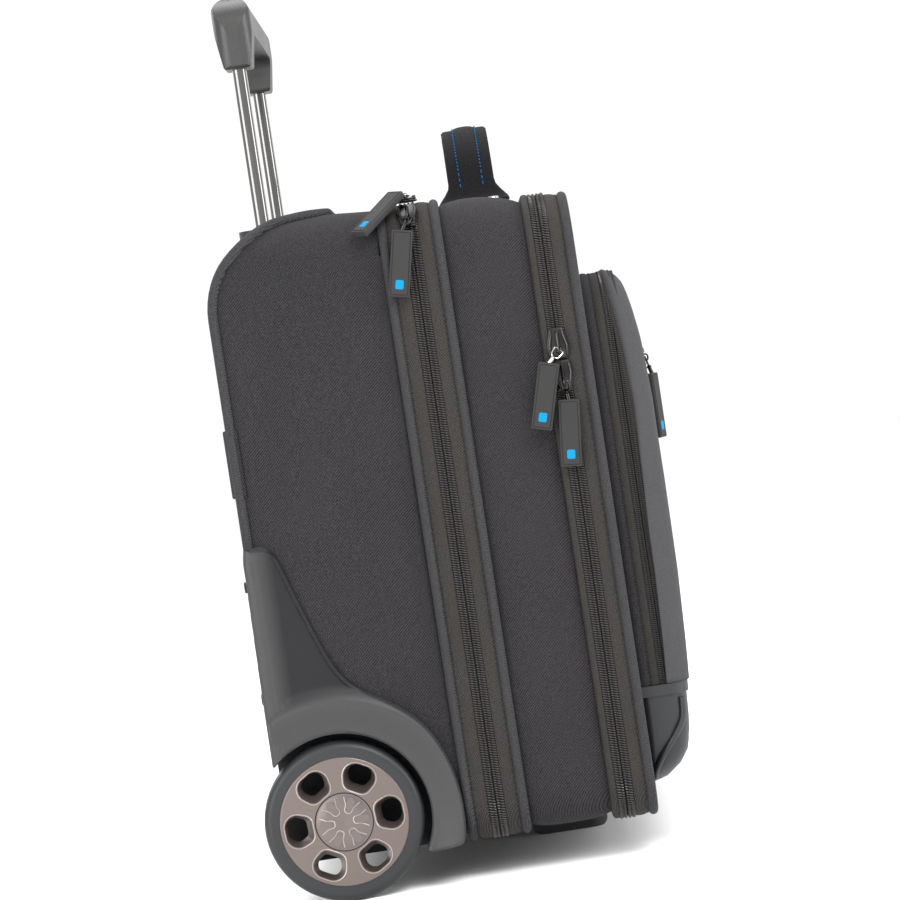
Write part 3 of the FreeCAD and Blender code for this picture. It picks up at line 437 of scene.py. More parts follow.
def path_normals(path, closed=True):
    """The direction to the right of travel at each point of a flat path."""
    out = []
    for i in range(len(path)):
        a = path[i - 1] if closed or i else path[i]
        b = path[(i + 1) % len(path)] if closed or i + 1 < len(path) else path[i]
        du, dv = b[0] - a[0], b[1] - a[1]
        size = math.hypot(du, dv) or 1.0
        out.append((dv / size, -du / size))
    return out


def bar(points, radius, sides=8, closed=False):
    """Vertices and faces of a round bar along a path; the radius may differ from point to point."""
    points = [Vector(p) for p in points]
    verts, side = [], None
    for i, p in enumerate(points):
        a = points[i - 1] if i or closed else p
        b = points[(i + 1) % len(points)] if i + 1 < len(points) or closed else p
        way = (b - a).normalized()
        side = way.orthogonal() if side is None else side
        side = (side - way * side.dot(way)).normalized()
        up = way.cross(side)
        r = radius[i] if isinstance(radius, (list, tuple)) else radius
        for j in range(sides):
            angle = 2 * math.pi * j / sides
            verts.append(p + (side * math.cos(angle) + up * math.sin(angle)) * r)
    faces = grid_faces(len(points), sides, closed, True)
    if not closed:
        faces += end_caps(sides, len(verts))
    return verts, faces


def slab(outline, low, high, bevel, steps=2):
    """Vertices and faces of a closed outline (u, v) drawn up from low to high, with rounded edges."""
    area = sum(a[0] * b[1] - b[0] * a[1] for a, b in zip(outline, outline[1:] + outline[:1]))
    turn = 1 if area > 0 else -1
    ways = path_normals(outline)
    layers = []
    for k in range(steps + 1):
        a = math.pi / 2 * k / steps
        layers.append((bevel * (1 - math.sin(a)), bevel * (1 - math.cos(a))))
    layers = [(i, low + w) for i, w in layers] + [(i, high - w) for i, w in reversed(layers)]
    verts = [Vector((u - n[0] * i * turn, v - n[1] * i * turn, w)) for i, w in layers
             for (u, v), n in zip(outline, ways)]
    count = len(outline)
    faces = grid_faces(len(layers), count, False, True)
    faces += end_caps(count, len(verts))
    return verts, faces


def placed(matrix, part):
    return [matrix @ Vector(v) for v in part[0]], part[1]


def merged(parts):
    """Several (vertices, faces) as one."""
    verts, faces = [], []
    for v, f in parts:
        faces += [tuple(i + len(verts) for i in face) for face in f]
        verts += v
    return verts, faces


def axes(origin, along, out):
    """A matrix whose X runs along and whose Z points out."""
    x = Vector(along).normalized()
    y = Vector(out).cross(x).normalized()
    return Matrix.Translation(origin) @ Matrix((x, y, x.cross(y))).transposed().to_4x4()


# Turns (u, v, w) into (w, u, v), so that an outline in (y, z) is drawn up along x.
ACROSS_X = Matrix(((0, 0, 1, 0), (1, 0, 0, 0), (0, 1, 0, 0), (0, 0, 0, 1)))


def bake(obj):
    """Fixes an object's modifiers into its mesh."""
    graph = bpy.context.evaluated_depsgraph_get()
    mesh = bpy.data.meshes.new_from_object(obj.evaluated_get(graph))
    old, obj.data = obj.data, mesh
    obj.modifiers.clear()
    bpy.data.meshes.remove(old)


def thicken(obj, thickness, inside=None):
    """Gives a skin its thickness inwards; the inner side may have another material."""
    if inside:
        obj.data.materials.append(M[inside])
    modifier = obj.modifiers.new("Thickness", "SOLIDIFY")
    modifier.thickness = thickness * MM
    modifier.offset = -1.0
    if inside:
        modifier.material_offset = len(obj.data.materials) - 1
    bake(obj)


BOX_FACES = [(0, 1, 3, 2), (4, 6, 7, 5), (0, 4, 5, 1), (2, 3, 7, 6), (0, 2, 6, 4), (1, 5, 7, 3)]


def cut(obj, boxes):
    """Takes boxes, each of three (low, high) pairs, out of an object."""
    for x, y, z in boxes:
        mesh = bpy.data.meshes.new("cutter")
        verts = [Vector((a, b, c)) * MM for a in x for b in y for c in z]
        mesh.from_pydata(verts, [], BOX_FACES)
        cutter = bpy.data.objects.new("cutter", mesh)
        bpy.context.collection.objects.link(cutter)
        modifier = obj.modifiers.new("Cut", "BOOLEAN")
        modifier.operation = "DIFFERENCE"
        modifier.solver = "EXACT"
        modifier.object = cutter
        bake(obj)
        bpy.data.objects.remove(cutter)
        bpy.data.meshes.remove(mesh)


def sweep(name, ring, profile, body, look, slot, replaces=(), uneven=0.0, looks=None, look_of=None):
    """A closed cross-section of (y, out) points carried round a ring."""
    verts = []
    for x, z, nx, nz in ring.points:
        for y, out in profile:
            extra = wobble(x, y, z, 45.0, uneven) if uneven and out > -1 else 0.0
            verts.append((x + nx * (out + extra), y, z + nz * (out + extra) + settle(y, z)))
    rows, columns = len(ring.points), len(profile)
    faces = grid_faces(rows, columns, ring.closed, True)
    if not ring.closed:
        faces += end_caps(columns, len(verts))
    marks = [look_of(i % columns) for i in range(len(faces))] if look_of else None
    return piece(name, verts, faces, body, look, slot, replaces, looks=looks, face_looks=marks)


def arc(cy, co, r, first, last, count):
    """Points on a circle in (y, out), from one angle to another in degrees; 90 points outwards."""
    return [(cy + r * math.cos(math.radians(first + (last - first) * i / count)),
             co + r * math.sin(math.radians(first + (last - first) * i / count))) for i in range(count + 1)]


def cord_round(name, ring, y, out, radius, body):
    """A covered cord carried round a ring."""
    return sweep(name, ring, arc(y, out, radius, 0, 330, 11), body, "piping", "piping", uneven=0.15)


def stitches(name, ring, y, out, body, pitch=3.4, length=2.3, thick=0.32):
    """A row of sewn stitches along a ring, each a small lens of thread."""
    verts, faces = [], []
    s = pitch / 2
    while s < ring.total:
        x, z, nx, nz = ring.at(s)
        z += settle(y, z)
        tx, tz = nz, -nx
        centre = len(verts)
        for along, scale in ((-1, 0.0), (-0.8, 0.8), (0, 1), (0.8, 0.8), (1, 0.0)):
            for j in range(5):
                a = 2 * math.pi * j / 5
                dy, dn = thick * scale * math.cos(a), thick * scale * math.sin(a)
                verts.append((x + tx * along * length / 2 + nx * (out + dn), y + dy,
                              z + tz * along * length / 2 + nz * (out + dn)))
        faces += [tuple(centre + k for k in f) for f in grid_faces(5, 5, False, True)]
        s += pitch
    return piece(name, verts, faces, body, "thread_dark", "zip_tape")


# One coil tooth: distance from the chain's middle, half width along the zip, height above the tape.
TOOTH = [(0.2, 0.20, 0.2), (0.7, 0.36, 1.1), (1.4, 0.36, 1.15), (2.1, 0.22, 0.35), (3.1, 0.32, 1.05),
         (4.0, 0.42, 1.25), (4.7, 0.30, 0.4)]
TOOTH_SIDES = 6


def teeth(name, ring, chain_y, out, side, body, pitch=1.4, scale=1.0, margin=0.0):
    """Half of a coil chain: side is 1 for the half towards the back and -1 for the half towards the front."""
    verts, faces = [], []
    template = [tuple(f) for f in grid_faces(len(TOOTH), TOOTH_SIDES, False, True)]
    template += end_caps(TOOTH_SIDES, len(TOOTH) * TOOTH_SIDES)
    count = int((ring.total - 2 * margin) / pitch)
    for k in range(count):
        s = margin + pitch * (k + (0.25 if side > 0 else 0.75))
        x, z, nx, nz = ring.at(s)
        z += settle(chain_y, z)
        tx, tz = nz, -nx
        centre = len(verts)
        for across, width, height in TOOTH:
            skew = 0.28 * across * scale
            for j in range(TOOTH_SIDES):
                a = 2 * math.pi * (j + 0.5) / TOOTH_SIDES
                du = width * scale * math.cos(a) + skew * side
                dn = out + 0.2 + height * scale * (0.5 + 0.5 * math.sin(a))
                verts.append((x + tx * du + nx * dn, chain_y + side * across * scale, z + tz * du + nz * dn))
        faces += [tuple(centre + i for i in f) for f in template]
    return piece(name, verts, faces, body, "coil", "zip_tape")


# How far inside the case's outline the lining is.
LINING_OUT = -3.0


def tape_profile(seam_y, chain_y, side, low, edge_out, chain_out):
    """Half a zip band's section: seam, tape rising to the chain, strip under the teeth, and lining."""
    inner = chain_y + side * 0.15
    width = abs(seam_y - chain_y)
    outer = []
    for i in range(9):
        t = i / 8
        y = seam_y + (chain_y + side * 4.9 - seam_y) * t
        crown = math.sin(math.pi * t) * min(0.7, width * 0.05)
        outer.append((y, edge_out + (chain_out - edge_out) * t + crown))
    under = [(chain_y + side * 4.6, chain_out - 0.7), (chain_y + side * 2.4, chain_out - 0.8),
             (inner, chain_out - 0.8)]
    lip = seam_y + side * low
    return [(lip, LINING_OUT), (lip, 0.0)] + outer + under + [(inner, LINING_OUT)]


# The tape's own cloth, and the strip under the teeth, painted dark as the shade between the coils.
TAPE_AND_PAINTED_SHADE = ["tape", "groove"]


def shade_under_teeth(k):
    """Which faces of a tape's section are the strip under the teeth, painted dark as shade."""
    return 1 if k >= 10 else 0


# ---- zip bands: 1 between the back section and the middle section, 2 between that and the lid ----
BAND_OUT = 3.6
# Name, body, the seam's y, the chain's y, its side of the chain, the lip beyond the seam, the edge's height,
# unevenness, the stitching's y, and the piping's y and radius.
BANDS = [
    ("zip1_back", "case_back", 10.0, CHAIN_1, 1, 5.4, 2.6, 0.25, 9.4, (12.6, 2.75)),
    ("zip1_front", "middle_section", -15.6, CHAIN_1, -1, 5.3, 2.6, 0.25, -15.0, (-18.2, 2.75)),
    ("zip2_back", "middle_section", -68.4, CHAIN_2, 1, 0.8, 3.0, 0.2, -69.2, None),
    ("zip2_front", "front_lid", -88.8, CHAIN_2, -1, 5.6, 2.6, 0.25, -88.2, (-91.5, 2.85)),
]
for name, body, seam_y, chain_y, side, lip, edge_out, uneven, stitch_y, piping in BANDS:
    sweep(name + "_tape", BODY_RING, tape_profile(seam_y, chain_y, side, lip, edge_out, BAND_OUT), body, None,
          "zip_tape", (name + "_band",), uneven=uneven, looks=TAPE_AND_PAINTED_SHADE, look_of=shade_under_teeth)
    if piping:
        cord_round(name + "_piping", BODY_RING, piping[0], 1.6, piping[1], body)
    teeth(name + "_teeth", BODY_RING, chain_y, BAND_OUT - 0.5, side, body)
for name, body, *_, stitch_y, piping in BANDS:
    stitches(name + "_stitching", BODY_RING, stitch_y, 2.95, body)


# ---- middle section ----
def gusset_profile(y_high, y_low, crown, count=18):
    """A cloth gusset between two seams: it springs out of each seam and is nearly flat between."""
    outer = []
    for i in range(count + 1):
        t = i / count
        y = y_high + (y_low - y_high) * t
        lift = 1 - abs(2 * t - 1) ** 3.2
        outer.append((y, -0.6 + (crown + 0.6) * lift))
    return [(y_high, LINING_OUT)] + outer + [(y_low, LINING_OUT)]


sweep("middle_gusset", BODY_RING, gusset_profile(-21.1, -67.4, 2.2), "middle_section", "twill", "twill",
      ("middle_shell",), uneven=0.9)


# ---- back section ----
BACK_FRONT = 14.2
BACK_SIDE = rounded([(BACK_FRONT, BASE, 0), (BACK, BASE, 9), (BACK, 385, 50), (46, 390, 120),
                     (BACK_FRONT, 387.5, 0)], 5.0, closed=False, turn_step=6.0)
BACK_WAYS = path_normals(BACK_SIDE, False)


def back_edge_radius(y, z):
    """How large the rounding is between the side panel and the band round it: small up the back."""
    if z < 60:
        return 10.0 + (R_BOTTOM - 10.0) * (1 - smooth(25, 60, z)) * (1 - smooth(85, 114, y) * 0.4)
    return 10.0 + (R_TOP - 10.0) * smooth(112, 62, y)


def back_skin(i, fillet_deg, t=1.0):
    """A point of the back section's band: along its side outline, and across from the middle to the edge."""
    (y, z), (ny, nz) = BACK_SIDE[i], BACK_WAYS[i]
    r = back_edge_radius(y, z)
    a = math.radians(fillet_deg)
    inset = r * (1 - math.cos(a))
    return (HALF - r) * t + r * math.sin(a), y - ny * inset, z - nz * inset


def back_section():
    """The back section's cloth: the band over its back and top, and its two side panels."""
    count = len(BACK_SIDE)
    flat, turns, face = 12, 7, 26
    rows = []
    for i in range(count):
        half = [back_skin(i, 0, k / flat) for k in range(flat + 1)] + \
               [back_skin(i, 90 * k / turns) for k in range(1, turns + 1)]
        edge_x, edge_y, edge_z = half[-1]
        first, last = back_skin(0, 90)[2], back_skin(count - 1, 90)[2]
        front_z = first + (last - first) * i / (count - 1)
        for k in range(1, face + 1):
            t = k / face
            y, z = edge_y + (BACK_FRONT - edge_y) * t, edge_z + (front_z - edge_z) * t
            from_edge = min(edge_y - y if edge_y > 60 else 40, y - BACK_FRONT + 6)
            puff = 1.6 * smooth(0, 30, from_edge) * smooth(110, 200, z)
            half.append((edge_x + puff * smooth(0, 0.25, t) * smooth(1.02, 0.85, t), y, z))
        out = [(x + wobble(3, y * 1.5, z * 0.4, 38, 0.9 * smooth(150, 205, x)), y,
                z + (wobble(y, x, z, 60, 0.5) if z > 330 else 0)) for x, y, z in half]
        rows += [(-x, y, z) for x, y, z in reversed(out[1:])] + out
    columns = 2 * (flat + turns + face) + 1
    obj = piece("back_panels", rows, grid_faces(count, columns), "case_back", "twill", "twill",
                ("back_shell",), sharp=60)
    thicken(obj, 3.0, "lining")
    outside = ((-240, -182), (182, 240))
    cut(obj, [(x, (33.6, 140), (0, 92)) for x in outside] + [(x, (41, 140), (90, 100)) for x in outside]
        + [((-127.5, 127.5), (71.5, 98.5), (350, 420))])


back_section()
for side, label in ((-1, "left"), (1, "right")):
    inner, outer, front, rear, low, high = side * 181.0, side * 212.5, 27.5, 115, 28, 102.5
    corners = [(outer, front, low), (inner, front, low), (inner, rear, low), (inner, rear, high),
               (inner, front, high), (outer, front, high), (outer, rear, high)]
    lining = piece("wheel_recess_" + label, corners, [(0, 1, 4, 5), (1, 2, 3, 4), (4, 3, 6, 5)], "case_back",
                   "lining", "lining", sharp=30)
    thicken(lining, 2.0)

# The cord over the back edges and across the top.
PIPING_FRONT = 43.0


def back_cord():
    """Up one back edge, forward over the shoulder, across the top and down the other side."""
    up, turn = [], 14.0
    for i, (y, z) in enumerate(BACK_SIDE):
        if z < 200 or y < PIPING_FRONT + turn:
            continue
        blend = smooth(105, 60, y)
        ny, nz = BACK_WAYS[i]
        x, py, pz = back_skin(i, 45 - 40 * blend)
        lift = 1.2 + 0.6 * blend
        up.append(Vector((x + lift * 0.7 * (1 - blend), py + ny * lift, pz + nz * lift)))
    last = up[-1]
    for k in range(1, 8):
        a = math.pi / 2 * k / 7
        x, y = last.x - turn * (1 - math.cos(a)), PIPING_FRONT + turn * (1 - math.sin(a))
        up.append(Vector((x, y, last.z + 0.2)))
    spread = (0.8, 0.55, 0.3, 0.1, -0.1, -0.3, -0.55, -0.8)
    across = [Vector((up[-1].x * t, PIPING_FRONT, up[-1].z)) for t in spread]
    path = up + across + [Vector((-p.x, p.y, p.z)) for p in reversed(up)]
    verts, faces = bar(path, 2.9, 12)
    piece("back_piping_cord", verts, faces, "case_back", "piping", "piping", ("back_piping",), sharp=80)


back_cord()


def strap():
    """The wide strap across the back panel, sewn into its edge seams under the cord."""
    x, y = HALF - 0.8, BACK + 2.2
    path = rounded([(x, 112.2, 0), (x, y, 8), (-x, y, 8), (-x, 112.2, 0)], 8.0, closed=False)
    ways = path_normals(path, False)
    section = rounded([(-1.0, 236.5, 0.9), (-1.0, 275.5, 0.9), (1.0, 275.5, 0.9), (1.0, 236.5, 0.9)], 6.0)
    verts = [(x + n[0] * -d, y + n[1] * -d, z) for (x, y), n in zip(path, ways) for d, z in section]
    faces = grid_faces(len(path), len(section), False, True)
    faces += end_caps(len(section), len(verts))
    piece("back_strap_webbing", verts, faces, "case_back", "twill", "twill", ("back_strap",))


strap()



def board(name, half, low, high, r_low, r_high, y_low, y_high, bevel, body, replaces=()):
    """A flat board across the case with rounded corners."""
    outline = [(-half, low, r_low), (half, low, r_low), (half, high, r_high), (-half, high, r_high)]
    verts, faces = slab(rounded(outline, 20.0), y_low, y_high, bevel)
    piece(name, [(u, w, v) for u, v, w in verts], faces, body, "lining", "lining", replaces)


board("handle_cover_board", 176, 28.5, 367, 4, 14, 71.6, 73.6, 0.8, "case_back", ("handle_cover",))

# ---- wheel housings ----
# The moulding's outline on the side panel in (y, z), from behind the wheel up the back edge, down the long
# front curve and round the wheel arch.
HOUSING_EDGE = [(119.6, 81), (119.6, 110), (119.2, 150), (118.3, 198), (117, 206.5), (112, 208), (105, 207),
                (100.5, 202.5), (98, 196), (94.5, 185), (86.6, 161), (77.5, 136), (71.5, 126.5), (63, 118.5),
                (46, 108.5), (30.5, 94.8), (21.5, 77), (17.2, 62), (15.2, 47), (15.8, 33), (17.2, 25),
                (19.5, 22), (38.8, 20.8)]


def corners_cut(path):
    """An open path with each corner replaced by two points, a quarter of the way along its runs."""
    inner = [(a[0] + (b[0] - a[0]) * t, a[1] + (b[1] - a[1]) * t) for a, b in zip(path, path[1:])
             for t in (0.25, 0.75)]
    return [path[0]] + inner + [path[-1]]


for _ in range(3):
    HOUSING_EDGE = corners_cut(HOUSING_EDGE)
# The wheel's arch, a little larger than the tyre.
ARCH_RADIUS = 50.0


def housing_reach(angle):
    """How far the housing's edge is from the axle in a direction, with the nearest distance to the edge."""
    c, s = math.cos(angle), math.sin(angle)
    best = 50.4
    for (y1, z1), (y2, z2) in zip(HOUSING_EDGE, HOUSING_EDGE[1:]):
        ay, az, dy, dz = y1 - AXLE_Y, z1 - AXLE_Z, y2 - y1, z2 - z1
        base = c * dz - s * dy
        if abs(base) < 1e-9:
            continue
        r, t = (ay * dz - az * dy) / base, (ay * s - az * c) / base
        if -0.001 <= t <= 1.001 and r > best:
            best = r
    return best


def edge_distance(y, z):
    """How near a point of the side panel is to the housing's edge."""
    best = math.inf
    for (y1, z1), (y2, z2) in zip(HOUSING_EDGE, HOUSING_EDGE[1:]):
        dy, dz = y2 - y1, z2 - z1
        t = max(0.0, min(1.0, ((y - y1) * dy + (z - z1) * dz) / (dy * dy + dz * dz)))
        best = min(best, math.hypot(y - y1 - dy * t, z - z1 - dz * t))
    return best


def housing_height(y, z):
    """How far the housing stands out of the side panel."""
    r = math.hypot(y - AXLE_Y, z - AXLE_Z)
    edge = edge_distance(y, z)
    fender = 5.4 * smooth(78.5, 68.0, r) - 3.6 * smooth(69, 51, r)
    lip = 1.1 * smooth(3.4, 2.2, edge)
    ridge = 2.9 * smooth(103, 112, y) * smooth(66, 84, z)
    height = 2.5 + max(fender, lip, ridge)
    round_off = min(1.0, edge / (1.8 + 1.8 * smooth(106, 112, y)), (r - 50) / 2.4 + 0.25)
    return 0.4 + (height - 0.4) * math.sqrt(max(0.0, 1 - (1 - round_off) ** 2))


def housing_side(side, label):
    """The moulding on the side panel, with the wall of the wheel arch."""
    degrees = [45.8 + k * 0.4 for k in range(80)] + [77.8 + k * 0.16 for k in range(106)] \
        + [94.9 + k * 1.2 for k in range(94)] + [207.4]
    verts, first, second = [], 14, 30
    columns = 3 + first + second + 2
    for degree in degrees:
        a = math.radians(degree)
        c, s = math.cos(a), math.sin(a)
        far = housing_reach(a)
        near = ARCH_RADIUS + min(27.0, 0.75 * (far - ARCH_RADIUS))
        radii = [ARCH_RADIUS + (near - ARCH_RADIUS) * k / first for k in range(first + 1)] + \
                [near + (far - near) * k / second for k in range(1, second + 1)]
        row = [(ARCH_RADIUS, 186.0), (ARCH_RADIUS, 198.0), (ARCH_RADIUS, 210.0)]
        row += [(r, HALF + housing_height(AXLE_Y + r * c, AXLE_Z + r * s)) for r in radii]
        row += [(far, HALF - 1.5)]
        verts += [(side * x, AXLE_Y + r * c, AXLE_Z + r * s) for r, x in row]
    piece("housing_side_" + label, verts, grid_faces(len(degrees), columns), "case_back", "housing",
          "moulding", ("wheel_housing_" + label,), sharp=32)


def housing_back(side, label):
    """The part of the moulding that wraps round the back edge."""
    wrap = []
    levels = [82.0, 90, 100, 106, 112, 118, 126, 140, 155, 170, 180, 188, 194, 199, 203, 205.5, 206.8]
    for z in levels:
        reach = 182.0 - 32.0 * smooth(98, 128, z)
        if z > 176:
            reach = 207.0 - 57.0 * math.sqrt(max(0.0, 1 - ((z - 176) / 31.2) ** 2))
        top = 1.0 * smooth(200, 207, z)
        edge_x, edge_y = HALF + 5.5 - top, BACK + 3.0 - 0.9 * smooth(110, 205, z) - top
        skin_x, skin_y, front = HALF + 0.3, BACK + 0.3, 113.4
        section = rounded([(reach, skin_y, 0.2), (reach, edge_y, min(2.2, edge_y - BACK - 0.5)),
                           (edge_x, edge_y, 3.2), (edge_x, front, 0.4), (skin_x, front, 0.2),
                           (skin_x, skin_y, 0.2)], turn_step=22.5)
        row = []
        for x, y in section:
            arch_z = AXLE_Z + math.sqrt(50.6 ** 2 - (min(y, BACK + 3) - AXLE_Y) ** 2)
            row.append((side * x, y, max(z, arch_z)))
        wrap.append(row)
    width = len(wrap[0])
    faces = grid_faces(len(wrap), width, False, True)
    faces += end_caps(width, len(wrap) * width)
    verts = [p for row in wrap for p in row]
    piece("housing_back_" + label, verts, faces, "case_back", "housing", "moulding", sharp=40)


def housing_well(side, label):
    """The disc behind the wheel, with the axle's boss."""
    disc = []
    for k in range(72):
        a = 2 * math.pi * k / 72
        disc.append((min(119.0, AXLE_Y + 50.5 * math.cos(a)), max(21.5, AXLE_Z + 50.5 * math.sin(a))))
    verts, faces = placed(ACROSS_X, slab(disc, side * 186.0, side * 183.0, 0.0, 1))
    boss = bar([(side * 186, AXLE_Y, AXLE_Z), (side * 190.5, AXLE_Y, AXLE_Z)], 9.0, 32)
    verts, faces = merged([(verts, faces), boss])
    piece("housing_well_" + label, verts, faces, "case_back", "housing_flat", "moulding")


# The rim's outer face.
RIM_OUT = 221.6


def wheel_trim(side, label):
    """The edges round the rim's windows and the raised lines of the hub cap's tongues, painted bright as
    their highlight.
    """
    lines = []
    for k in range(6):
        turn = math.radians(26.6 + 60.0 * k)

        def on_rim(u, r, out):
            y = u * math.cos(turn) - r * math.sin(turn)
            z = u * math.sin(turn) + r * math.cos(turn)
            return side * (RIM_OUT - out), AXLE_Y + y, AXLE_Z + z

        window = rounded([(-6.8, 17.7, 5.4), (6.8, 17.7, 5.4), (13.2, 34.5, 7.4), (-13.2, 34.5, 7.4)],
                         turn_step=10.0)
        lines.append(bar([on_rim(u, r, 1.0) for u, r in window], 0.32, 6, closed=True))
        tongue = rounded([(-4.8, 13.6, 0), (-2.3, 9.6, 3.0), (-2.0, 5.4, 1.7), (2.0, 5.4, 1.7),
                          (2.3, 9.6, 3.0), (4.8, 13.6, 0)], closed=False, turn_step=15.0)
        lines.append(bar([on_rim(u, r, 0.25 if r < 10 else 0.35) for u, r in tongue], 0.36, 6))
    verts, faces = merged(lines)
    piece("rim_edge_lines_" + label, verts, faces, "wheel_" + label, "edge_highlight", "rim")
    groove = bar([(side * (RIM_OUT - 1.15), AXLE_Y + 16.55 * math.cos(a), AXLE_Z + 16.55 * math.sin(a))
                  for a in (2 * math.pi * j / 72 for j in range(72))], 0.38, 6, closed=True)
    piece("hub_groove_" + label, *groove, "wheel_" + label, "groove", "rim")


for side, label in ((-1, "left"), (1, "right")):
    housing_side(side, label)
    housing_back(side, label)
    housing_well(side, label)
for side, label in ((-1, "left"), (1, "right")):
    wheel_trim(side, label)

# ---- middle section: divider, laptop sleeve, carry handle ----
board("middle_divider", 210, 29, 381, 19, 23, -24.2, -21.4, 0.6, "middle_section")


def sleeve():
    """The padded wall of the laptop sleeve."""
    columns, rows = 40, 30
    verts = []
    for front in (True, False):
        for i in range(rows + 1):
            for j in range(columns + 1):
                u, v = 2 * j / columns - 1, 2 * i / rows - 1
                x, z = u * 197.0, 28.4 + (v + 1) / 2 * 271.0
                edge = (1 - abs(u) ** 6) * (1 - abs(v) ** 6)
                puff = 0.8 + 3.4 * edge ** 0.5 + wobble(x, 0, z, 70, 0.6) * edge
                verts.append((x, -56 - puff if front else -56 + puff, z))
    size = (rows + 1) * (columns + 1)
    face = grid_faces(rows + 1, columns + 1)
    border = [j for j in range(columns + 1)] + [i * (columns + 1) + columns for i in range(1, rows + 1)] + \
             [rows * (columns + 1) + j for j in range(columns - 1, -1, -1)] + \
             [i * (columns + 1) for i in range(rows - 1, 0, -1)]
    faces = face + [tuple(i + size for i in f) for f in face]
    faces += [(a, b, b + size, a + size) for a, b in zip(border, border[1:] + border[:1])]
    obj = piece("laptop_sleeve_wall", verts, faces, "middle_section", "lining", "lining", ("laptop_pad",),
                sharp=70)


sleeve()
CARRY_Y, CARRY_SPAN, CARRY_TOP = -42.6, 72.0, 434.5


def carry():
    """The carry handle: webbing with a padded middle, spread into a sewn tab at each end."""
    left = [(-CARRY_SPAN - 22, TOP + 2.2, 0), (-CARRY_SPAN + 1, TOP + 2.8, 9),
            (-CARRY_SPAN + 8, CARRY_TOP, 30)]
    path = rounded(left + [(-u, v, r) for u, v, r in reversed(left)], 4.0, closed=False, turn_step=8.0)
    ways = path_normals(path, False)
    total = [0.0]
    for a, b in zip(path, path[1:]):
        total.append(total[-1] + math.dist(a, b))
    verts, threads = [], []
    for (x, z), (nx, nz), s in zip(path, ways, total):
        ends = min(s, total[-1] - s)
        width = 14.0 + 7.5 * smooth(34, 20, ends)
        pad = smooth(36, 62, ends)
        section = []
        for k in range(25):
            u = -1 + 2 * k / 24
            swell = pad * 1.5 * max(0.0, 1 - abs(u * width / 6.6) ** 2.4) ** 0.6
            section.append((u * width, 1.35 * (1 - abs(u) ** 14) ** 0.5 + swell))
        loop = section + [(d, -t) for d, t in reversed(section[1:-1])]
        verts += [(x - nx * t, CARRY_Y + d + wobble(x, d, z, 30, 0.25), z - nz * t) for d, t in loop]
        threads.append((x, z, nx, nz, ends))
    columns = 48
    faces = grid_faces(len(path), columns, False, True)
    faces += end_caps(columns, len(verts))
    obj = piece("carry_handle_webbing", verts, faces, "middle_section", "webbing", "carry_webbing",
                ("carry_handle",), sharp=50)
    carry_stitching(threads)
    carry_rivets()


def carry_stitching(threads):
    """Two blue rows along the handle, on both of its faces."""
    parts = []
    for row in (-6.9, 6.9):
        for k in range(len(threads) - 1):
            x, z, nx, nz, ends = threads[k]
            x2, z2 = threads[k + 1][:2]
            if ends < 29:
                continue
            for face in (1, -1):
                a, b = (Vector((p - nx * face * 1.75, CARRY_Y + row, q - nz * face * 1.75))
                        for p, q in ((x, z), (x + (x2 - x) * 0.62, z + (z2 - z) * 0.62)))
                middle = a.lerp(b, 0.5) - Vector((nx, 0, nz)) * face * 0.15
                parts.append(bar([a, middle, b], [0.3, 0.5, 0.3], 5))
    piece("carry_handle_stitching", *merged(parts), "middle_section", "thread_blue", "carry_webbing")


def carry_rivets():
    """Four domed rivets with a rolled edge, two in each sewn end."""
    profile = [(4.2, 1.6), (4.2, 3.0), (3.6, 3.9), (2.6, 3.9), (2.1, 3.3), (1.2, 3.8), (0.0, 4.0)]
    parts = []
    for x in (-CARRY_SPAN - 10, CARRY_SPAN + 10):
        for y in (CARRY_Y - 11, CARRY_Y + 11):
            turns = [math.radians(15 * j) for j in range(24)]
            rings = [Vector((x + r * math.cos(a), y + r * math.sin(a), TOP + 1.4 + w)) for r, w in profile
                     for a in turns]
            parts.append((rings, grid_faces(len(profile), 24, False, True)))
    piece("carry_handle_rivets", *merged(parts), "middle_section", "chrome", "rivet", ("handle_rivets",))


carry()


# ---- lid and pocket ----
def front_panel():
    """The lid's own front, a stiff panel with a slightly full face."""
    loops = [(LID_FRONT + 3.0, k) for k in (0.0, 0.35, 0.7, 0.95)]
    loops += [(LID_FRONT + 1.2, 1.0), (LID_FRONT, 0.985)]
    loops += [(LID_FRONT - 0.1, k) for k in (0.95, 0.9, 0.8, 0.6, 0.35, 0.0)]
    verts = []
    for y, k in loops:
        for x, z, nx, nz in BODY_RING.points:
            level = 205 + (z - nz * 0.6 - 205) * k
            verts.append(((x - nx * 0.6) * k, y, level + settle(y, level)))
    faces = grid_faces(len(loops), len(BODY_RING.points), False, True)
    piece("lid_front_panel", verts, faces, "front_lid", "twill", "twill", ("front_panel",), sharp=60)


front_panel()

FACE_Y = [(36, -117.5), (61, -118.5), (72, -120), (95, -121.2), (118, -122.6), (160, -124.6), (210, -125.3),
          (258, -125.0), (290, -123.2), (315, -120.6), (334, -118.5)]


def face_y(x, z):
    """Where the pocket's front is: it bellies out in the middle of its height."""
    for (z1, y1), (z2, y2) in zip(FACE_Y, FACE_Y[1:]):
        if z <= z2 or z2 == FACE_Y[-1][0]:
            t = max(0.0, min(1.0, (z - z1) / (z2 - z1)))
            y = y1 + (y2 - y1) * t
            break
    belly = smooth(100, 170, z) * smooth(334, 280, z)
    return y + belly * (0.9 * abs(x / POCKET_HALF) ** 2 + wobble(x, 7, z, 90, 0.7))


def front_rounding(nz):
    """The rounding between the pocket's walls and its front, largest along the bottom."""
    return 12.0 + (15.0 if nz < 0 else 1.5) * nz * nz


def pocket_wall(x, z, nx, nz, y):
    """How far in from the pocket's outline its skin is at a depth."""
    r = front_rounding(nz)
    start = face_y(x, z) + r
    if y >= start:
        return 0.0
    return r * (math.sqrt(max(0.0, 1 - min(1.0, (start - y) / r) ** 2)) - 1)


def seam_angle(z):
    """How far round the pocket's front edge the zip's tape reaches, in degrees: further at the top."""
    return 5 + 58 * smooth(175, 300, z)


